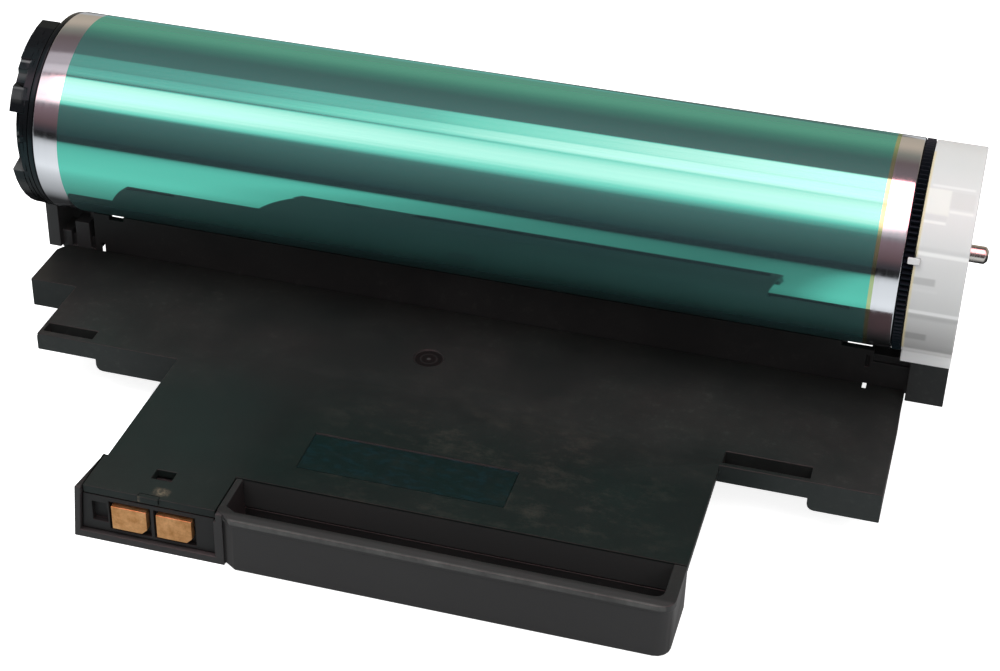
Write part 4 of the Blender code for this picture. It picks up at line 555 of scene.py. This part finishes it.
def inside(tree, value, low, high, soft):
    """1 between two limits: the smaller of the distances past them, over the soft edge, kept between 0 and 1."""
    above = maths(tree, "DIVIDE", maths(tree, "SUBTRACT", value, low - soft / 2), soft)
    below = maths(tree, "DIVIDE", maths(tree, "SUBTRACT", high + soft / 2, value), soft)
    both = maths(tree, "MINIMUM", above, below)
    return maths(tree, "MINIMUM", maths(tree, "MAXIMUM", both, 0.0), 1.0)


def stretch_of(tree, where, axis, limits, soft):
    """1 between two limits along one axis, given in the drum's millimetres."""
    return inside(tree, where[axis], in_metres(axis, limits[0]), in_metres(axis, limits[1]), soft)


def patch(tree, where, x, y, z=BELOW_DRUM, soft=SHARP):
    """1 inside a box given in the drum's millimetres: the product of three stretches."""
    flat = maths(tree, "MULTIPLY", stretch_of(tree, where, 0, x, soft), stretch_of(tree, where, 1, y, soft))
    return maths(tree, "MULTIPLY", flat, stretch_of(tree, where, 2, z, SHARP))


def angle_round(tree, where):
    """The angle round the drum's axis, as a share of a whole turn."""
    return share_of_turn(tree, *(maths(tree, "SUBTRACT", where[axis], in_metres(axis, 0)) for axis in (1, 2)))


def painted(tree, tone, mask, colour, strength=1.0):
    """The tone with a colour laid over it where the mask is 1, as strongly as asked."""
    return mixed(tree, maths(tree, "MULTIPLY", mask, strength), tone, colour)


def banded(tree, tone, bands, strength):
    """The tone with ring sectors painted on it: bands of (x limits, degrees, soft edge in degrees, colour)."""
    where = whereabouts(tree)
    angle = angle_round(tree, where)
    for x, degrees, soft, colour in bands:
        mask = maths(tree, "MULTIPLY", stretch_of(tree, where, 0, x, SECTOR_END),
                     inside(tree, angle, around(degrees[0]), around(degrees[1]), soft / FULL_TURN))
        tone = painted(tree, tone, mask, colour, strength)
    return tone


print("mark helpers ready")

# %% [markdown]
# The carrier's front faces, along the trough's front and on the left post, are painted paler: painted light, standing
# for the light they catch from the front. A thin painted highlight, broken up by noise, runs along the trough's rim.
# The left cap is glossier than the carrier, and its lobes have edges that catch the light at fixed angles. They are
# too fine for the bevel to show at this size, so they are painted as light bands.

# %% Marks on the carrier and the left cap
carrier_black, tree, shader, tone = black_plastic("carrier_black", (0.0180, 0.0178, 0.0180), (0.030, 0.030, 0.028))
where = whereabouts(tree)
# Painted light: the trough's front faces and, below, the left post are made paler, as if lit more from the front.
lit_trough_front = patch(tree, where, (40, 260), (-170, -119.6), soft=0.001)
tone = painted(tree, tone, lit_trough_front, (0.040, 0.0385, 0.039), 0.9)
lit_left_post = patch(tree, where, (-30, 5), (-40, 20))
tone = painted(tree, tone, lit_left_post, (0.042, 0.041, 0.042))
# Painted highlight: a thin light line along the trough's rim, broken up by noise.
rim = patch(tree, where, (91, 216), (-122.9, -121.6), (-45.5, -42))
rim_highlight_breakup = ramp(tree, pattern(tree, 150, 5, 0.7), [(0.35, 0.3), (0.65, 1.0)])
tone = painted(tree, tone, maths(tree, "MULTIPLY", rim, rim_highlight_breakup), (0.095, 0.095, 0.092))
link(tree, tone, shader.inputs["Base Color"])

LOBES = (-8.3, -4.4)
LOBE_EDGES = (((125.4, 126.8), 0.6, 0.15), ((132.3, 136.4), 3, 0.06), ((142.2, 143.4), 0.6, 0.13),
              ((143.5, 150), 4, 0.045), ((171.5, 174.5), 1, 0.08), ((192.3, 193.8), 0.8, 0.10),
              ((203, 213), 6, 0.035))    # (degrees, soft edge, grey)
flange_black, tree, shader, tone = black_plastic("flange_black", (0.006, 0.006, 0.007), (0.012, 0.012, 0.012), 0.17,
                                                 tint=(0.4, 0.9, 1))
tone = banded(tree, tone, [(LOBES, degrees, soft, grey) for degrees, soft, grey in LOBE_EDGES], 1.0)
link(tree, tone, shader.inputs["Base Color"])
print("made", carrier_black.name, "and", flange_black.name, "with", len(LOBE_EDGES), "lobe edges")

# %% [markdown]
# The cover has marks of its own. Its front half is darker and greener than the rest, and the label recess is darker
# still, where a label has come off and left a blotchy residue. Handling has smudged the middle. A small moulded
# round mark is a ramp over the distance from its centre. The skirt that faces the fingers is painted paler, as
# painted light, and a cream deposit lies along the front edge above the contacts.

# %% The cover's own marks
COVER_TOP = -44.0
MARK_PLACE, MARK_RADIUS = (123.6, -34.1), 0.0045
MARK_RINGS = ((0, 0.05), (0.05, 0.05), (0.08, 0.008), (0.22, 0.006), (0.27, 0.022), (0.31, 0.006), (0.44, 0.008),
              (0.48, 0.026), (0.5, 0.015))    # (share of the mark's width, grey)

cover_black, tree, shader, tone = black_plastic("cover_black", (0.0160, 0.0182, 0.0177), (0.034, 0.034, 0.031))
where = whereabouts(tree)
front_half = patch(tree, where, (84, 236), (-125, -62), soft=0.024)
tone = painted(tree, tone, front_half, (0.0030, 0.0078, 0.0068), 0.75)
left_half = patch(tree, where, (30, 84), (-125, -64), soft=0.016)
tone = painted(tree, tone, left_half, (0.010, 0.0185, 0.0165), 0.6)
handled = patch(tree, where, (108, 205), (-112, -50), soft=0.03)
smudges = ramp(tree, pattern(tree, 62, 9, 0.8, (1, 1.8, 1), (4, 2, 7)), [(0.51, 0), (0.70, 0.55)])
tone = painted(tree, tone, maths(tree, "MULTIPLY", handled, smudges), (0.052, 0.049, 0.040))

squares = [maths(tree, "POWER", maths(tree, "SUBTRACT", where[axis], in_metres(axis, MARK_PLACE[axis])), 2.0)
           for axis in (0, 1)]
from_mark = maths(tree, "SQRT", maths(tree, "ADD", *squares))
rings = ramp(tree, maths(tree, "DIVIDE", from_mark, 2 * MARK_RADIUS), MARK_RINGS)
tone = painted(tree, tone, inside(tree, from_mark, -1.0, MARK_RADIUS, 0.0002), rings)

label = patch(tree, where, (104.8, 163.2), (-95.2, -78.9))
tone = painted(tree, tone, label, (0.0008, 0.0085, 0.0085), 0.75)
residue = ramp(tree, pattern(tree, 230, 4, 0.75, (1, 2.2, 1)), [(0.50, 0), (0.60, 0.5)])
tone = painted(tree, tone, maths(tree, "MULTIPLY", label, residue), (0.004, 0.020, 0.027))
# Painted light: the skirt at the back of the finger pocket is made paler, as if lit.
lit_skirt = patch(tree, where, (92, 213), (-104.8, -102.9), (-56, COVER_TOP - 0.6))
tone = painted(tree, tone, lit_skirt, (0.045, 0.045, 0.045))
deposit = maths(tree, "MAXIMUM", patch(tree, where, (50, 70), (-121.2, -120.2), soft=0.0006),
                patch(tree, where, (72.8, 76.4), (-117.8, -115.2), soft=0.0018))
crumbs = ramp(tree, pattern(tree, 700, 5, 0.8), [(0.44, 0.1), (0.60, 0.55)])
tone = painted(tree, tone, maths(tree, "MULTIPLY", deposit, crumbs), (0.32, 0.25, 0.17))
link(tree, tone, shader.inputs["Base Color"])
print("made", cover_black.name, "with", len(tree.nodes), "nodes")

# %% [markdown]
# A moulding has no sharp edges. These pieces could be modelled again, but the solid model already has their shape.
# So its flat-faced pieces are copied, their triangles joined back into whole faces, and a small Bevel rounds the
# edges, so that they catch the light as real ones do.

# %% Moulded pieces from the solid model
SAME_POINT, SAME_PLANE = 2e-6, 0.6    # metres, degrees
BEVEL_STEPS = 2


def moulded(node, body, made, radius=0.25, smooth=32.0):
    """A copy of a node, its edges sharper than smooth degrees rounded by a radius in millimetres."""
    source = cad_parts[node]
    shell = bmesh.new()
    shell.from_mesh(source.data)
    bmesh.ops.remove_doubles(shell, verts=shell.verts, dist=SAME_POINT)
    bmesh.ops.dissolve_limit(shell, angle_limit=math.radians(SAME_PLANE), verts=shell.verts, edges=shell.edges,
                             delimit={"NORMAL"})
    mesh = bpy.data.meshes.new(f"{node}_moulded")
    shell.to_mesh(mesh)
    shell.free()
    mesh.materials.clear()
    mesh.materials.append(made)
    mesh.shade_smooth()
    mesh.set_sharp_from_angle(angle=math.radians(smooth))
    piece = bpy.data.objects.new(mesh.name, mesh)
    bpy.context.scene.collection.objects.link(piece)
    bevel = piece.modifiers.new("rounded_edges", "BEVEL")
    bevel.width = radius / MM_PER_METRE
    bevel.segments = BEVEL_STEPS
    bevel.limit_method = "ANGLE"
    bevel.angle_limit = math.radians(smooth)
    bevel.use_clamp_overlap = False
    bevel.harden_normals = True
    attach(piece, body)
    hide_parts(node)
    print(f"{piece.name}: {len(mesh.polygons)} faces before rounding")


moulded("tray_cover", "carrier", cover_black)
moulded("main_frame", "carrier", carrier_black)
moulded("left_bearing_cap", "carrier", flange_black, radius=0.18, smooth=15.0)
moulded("contact_holder", "carrier", carrier_black, radius=0.15)

# %% [markdown]
# Each end of the tube is closed by a black flange: a lip that shows as a thin dark line, a plug in the tube, a web
# and a hub on the axle. The left one is plain and turned like the tube. The right one carries the fine-toothed ring.
# Its teeth are already exact in the solid model, so it keeps that shape and only gets its plastic.

# %% Flanges and gear ring
LIP_LEFT, LIP_RIGHT, LIP_RADIUS = -1.8, -0.3, 29.8
PLUG_RADIUS, PLUG_INNER, PLUG_LENGTH, WEB = 28.2, 25.7, 11.0, 1.3
HUB_RADIUS, HUB_LENGTH, BORE = 6.5, 13.0, 2.6
FLANGE_SIDES, FLANGE_ROUND = 160, 0.25

profile = rounded([(LIP_LEFT, BORE), (LIP_LEFT, LIP_RADIUS), (LIP_RIGHT, LIP_RADIUS), (LIP_RIGHT, PLUG_RADIUS),
                   (PLUG_LENGTH, PLUG_RADIUS), (PLUG_LENGTH, PLUG_INNER), (WEB, PLUG_INNER), (WEB, HUB_RADIUS),
                   (HUB_LENGTH, HUB_RADIUS), (HUB_LENGTH, BORE), (LIP_LEFT, BORE)], FLANGE_ROUND)
points, quads = turned_grid(profile, FLANGE_SIDES)
flange = mesh_piece("turned_left_flange", points, quads, [flange_black], "drum", ["left_flange"])


def dress(made, *nodes):
    """Gives a finish to nodes that keep the solid model's own shape."""
    for node in nodes:
        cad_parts[node].material_slots[0].material = made


dress(gear_black, "drive_gear_flange")

# %% [markdown]
# The steel axle is ground to size along its length, so its shine is drawn out round it. Where it comes out of the
# white cap it ends in a wide chamfer. The solid model's rod has flat sides that would show on such a bright pin, so
# it is turned again with more sides and with rounded ends.

# %% Axle
AXLE_RADIUS, AXLE_SIDES, ON_AXIS = 2.5, 64, 0.0001
LEFT_TIP, LEFT_CHAMFER = 1.7, 0.8    # the end face's radius and the chamfer's length
RIGHT_TIP, RIGHT_CHAMFER, RIGHT_DIMPLE, TIP_ROUND = 1.5, 0.9, 0.2, 0.4

ground, tree, shader = finish("ground_steel_finish", (0.60, 0.58, 0.55), 0.22, Metallic=1.0)
grinding = pattern(tree, 4000, 2, 0.6, (1, 0.05, 0.05))
link(tree, ramp(tree, grinding, [(0.3, 0.14), (0.7, 0.30)]), shader.inputs["Roughness"])
bumped(tree, shader, grinding, depth=0.000004)

axle_low, axle_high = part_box("axle")
left_end, right_end = ((end.x - DRUM_START[0]) * MM_PER_METRE for end in (axle_low, axle_high))
profile = rounded([(left_end, LEFT_TIP), (left_end + LEFT_CHAMFER, AXLE_RADIUS),
                   (right_end - RIGHT_CHAMFER, AXLE_RADIUS), (right_end, RIGHT_TIP), (right_end, RIGHT_DIMPLE)],
                  TIP_ROUND)
profile = [(left_end, ON_AXIS)] + profile + [(right_end, ON_AXIS)]
points, quads = turned_grid(profile, AXLE_SIDES)
mesh_piece("ground_axle", points, quads, [ground], "carrier", ["axle"], smooth=60)

# %% [markdown]
# The white cap is natural nylon, which lets a little light in, so its shader has some subsurface scattering. The
# real cap has windows, ledges and ribs a millimetre deep. The solid model has its main form, and the light and shade
# of the fine steps are painted as bands at their angle round the drum and their place along it: a painted highlight
# for a ledge that faces the lamps, and painted shade for a window. A ramp over the angle paints shade on the whole
# from top to bottom.

# %% White cap
# Painted shade over the whole cap by angle round the drum, with a painted highlight on a rib near the bottom.
CAP_TONES = ((100, (0.70, 0.70, 0.69)), (130, (0.76, 0.76, 0.755)), (152, 0.72), (185, 0.66), (205, 0.50),
             (221, 0.43), (224, 0.80), (232, 0.70), (240, 0.85))    # (degrees, colour or grey)
WHOLE_CAP, BESIDE_GEAR, BAND_STRENGTH = (255, 272), (256.9, 257.6), 0.85
YELLOWED = (0.78, 0.66, 0.38)
# Painted highlights and painted shade for the cap's ledges, ribs and windows, and a yellowed line beside the gear.
CAP_BANDS = (((258.3, 269.8), (115.5, 117), 0.8, (0.86, 0.86, 0.85)),
             ((257.2, 263.8), (118.3, 133), 0.8, (0.86, 0.86, 0.82)),
             ((263.8, 270.2), (118.7, 128.4), 1.2, (0.70, 0.70, 0.69)),
             ((257.5, 263.5), (133, 136), 2.5, 0.70),
             ((257.5, 263.5), (136.3, 137.8), 0.8, (0.92, 0.92, 0.90)),
             (WHOLE_CAP, (150.5, 152.5), 2.0, 0.64),
             (WHOLE_CAP, (152.8, 154.8), 1.0, (0.92, 0.92, 0.91)),
             ((257.2, 263.4), (166.3, 170.2), 1.0, 0.50),
             ((257.2, 264.4), (172.5, 174), 1.5, 0.72),
             (WHOLE_CAP, (185.4, 187.6), 1.0, 0.92),
             (WHOLE_CAP, (188, 191), 2.0, 0.50),
             ((257.1, 263.3), (202.5, 208.6), 1.5, 0.34),
             ((263.9, 270.4), (129.5, 131), 1.0, (0.90, 0.90, 0.88)),
             (BESIDE_GEAR, (90, 156), 1.0, YELLOWED),
             (BESIDE_GEAR, (161, 222), 1.0, YELLOWED))    # (x limits, degrees, soft edge, colour or grey)

natural, tree, shader = finish("natural_nylon", (0.72, 0.72, 0.71), 0.40, Specular_IOR_Level=0.25,
                               Specular_Tint=(0.6, 0.95, 1, 1), Subsurface_Weight=0.25, Subsurface_Scale=0.004,
                               Subsurface_Radius=(1.0, 0.95, 0.85))
tone = ramp(tree, angle_round(tree, whereabouts(tree)), [(around(degrees), colour) for degrees, colour in CAP_TONES])
tone = banded(tree, tone, CAP_BANDS, BAND_STRENGTH)
link(tree, tone, shader.inputs["Base Color"])
moulded("right_bearing_cap", "carrier", natural, radius=0.3)

# %% [markdown]
# The two pads are stamped copper, dulled and stained by fingers. A fully metallic shader would turn dark in the dim
# room that mirrors see, so it is a little less than that, and a blotchy ramp gives the stains.

# %% Copper pads
copper, tree, shader = finish("dull_copper", (0.62, 0.33, 0.17), 0.42, Metallic=0.85)
stain = ramp(tree, pattern(tree, 260, 5, 0.7), [(0.35, (0.60, 0.29, 0.10)), (0.65, (0.92, 0.53, 0.24))])
link(tree, stain, shader.inputs["Base Color"])
for side in ("left", "right"):
    moulded(f"contact_pad_{side}", "carrier", copper, radius=0.15)

# %% [markdown]
# The other pieces lie inside or underneath: screws, springs, rollers, blade, seals and gears. They could be rounded
# like the mouldings, but at their size it wouldn't show. So they keep the solid model's shape, and each gets the
# finish of its real material.

# %% Finishes on the nodes that keep their own shape
zinc, tree, shader = finish("zinc_plating", (0.55, 0.56, 0.57), 0.32, Metallic=1.0)
link(tree, ramp(tree, pattern(tree, 300, 3), [(0.3, 0.25), (0.7, 0.42)]), shader.inputs["Roughness"])
rubber, tree, shader = finish("roller_rubber", (0.03, 0.03, 0.033), 0.6)
bumped(tree, shader, pattern(tree, 3000, 2), depth=0.00002)
felt, tree, shader = finish("grey_felt", (0.30, 0.29, 0.27), 0.95)
bumped(tree, shader, pattern(tree, 2500, 4, 0.8), depth=0.0003)
acetal, tree, shader = finish("off_white_acetal", (0.75, 0.74, 0.70), 0.38)
bumped(tree, shader, pattern(tree, 1800, 2), depth=0.00001)
urethane = finish("blade_urethane", (0.55, 0.42, 0.20), 0.35)[0]
film = finish("dark_film", (0.08, 0.08, 0.09), 0.2)[0]
fuse_paint = finish("fuse_paint", (0.70, 0.66, 0.56), 0.5)[0]

dress(zinc, "left_cap_screw", "right_cap_screw", "blade_bracket", "charge_spring_left", "charge_spring_right",
      *(f"cover_screw_{n}" for n in (1, 2, 3, 4)), *(f"blade_screw_{n}" for n in (1, 2, 3)))
dress(ground, "charge_roller_shaft")
dress(rubber, "charge_roller_sleeve")
dress(urethane, "cleaning_blade")
dress(film, "recovery_film")
dress(felt, "end_seal_left", "end_seal_right")
dress(acetal, "charge_bearing_left", "charge_bearing_right", "auger_gear", "idler_gear")
dress(carrier_black, "waste_auger")
dress(fuse_paint, "reset_fuse")
dress(copper, "earthing_plate")
print("materials in all:", len(bpy.data.materials))
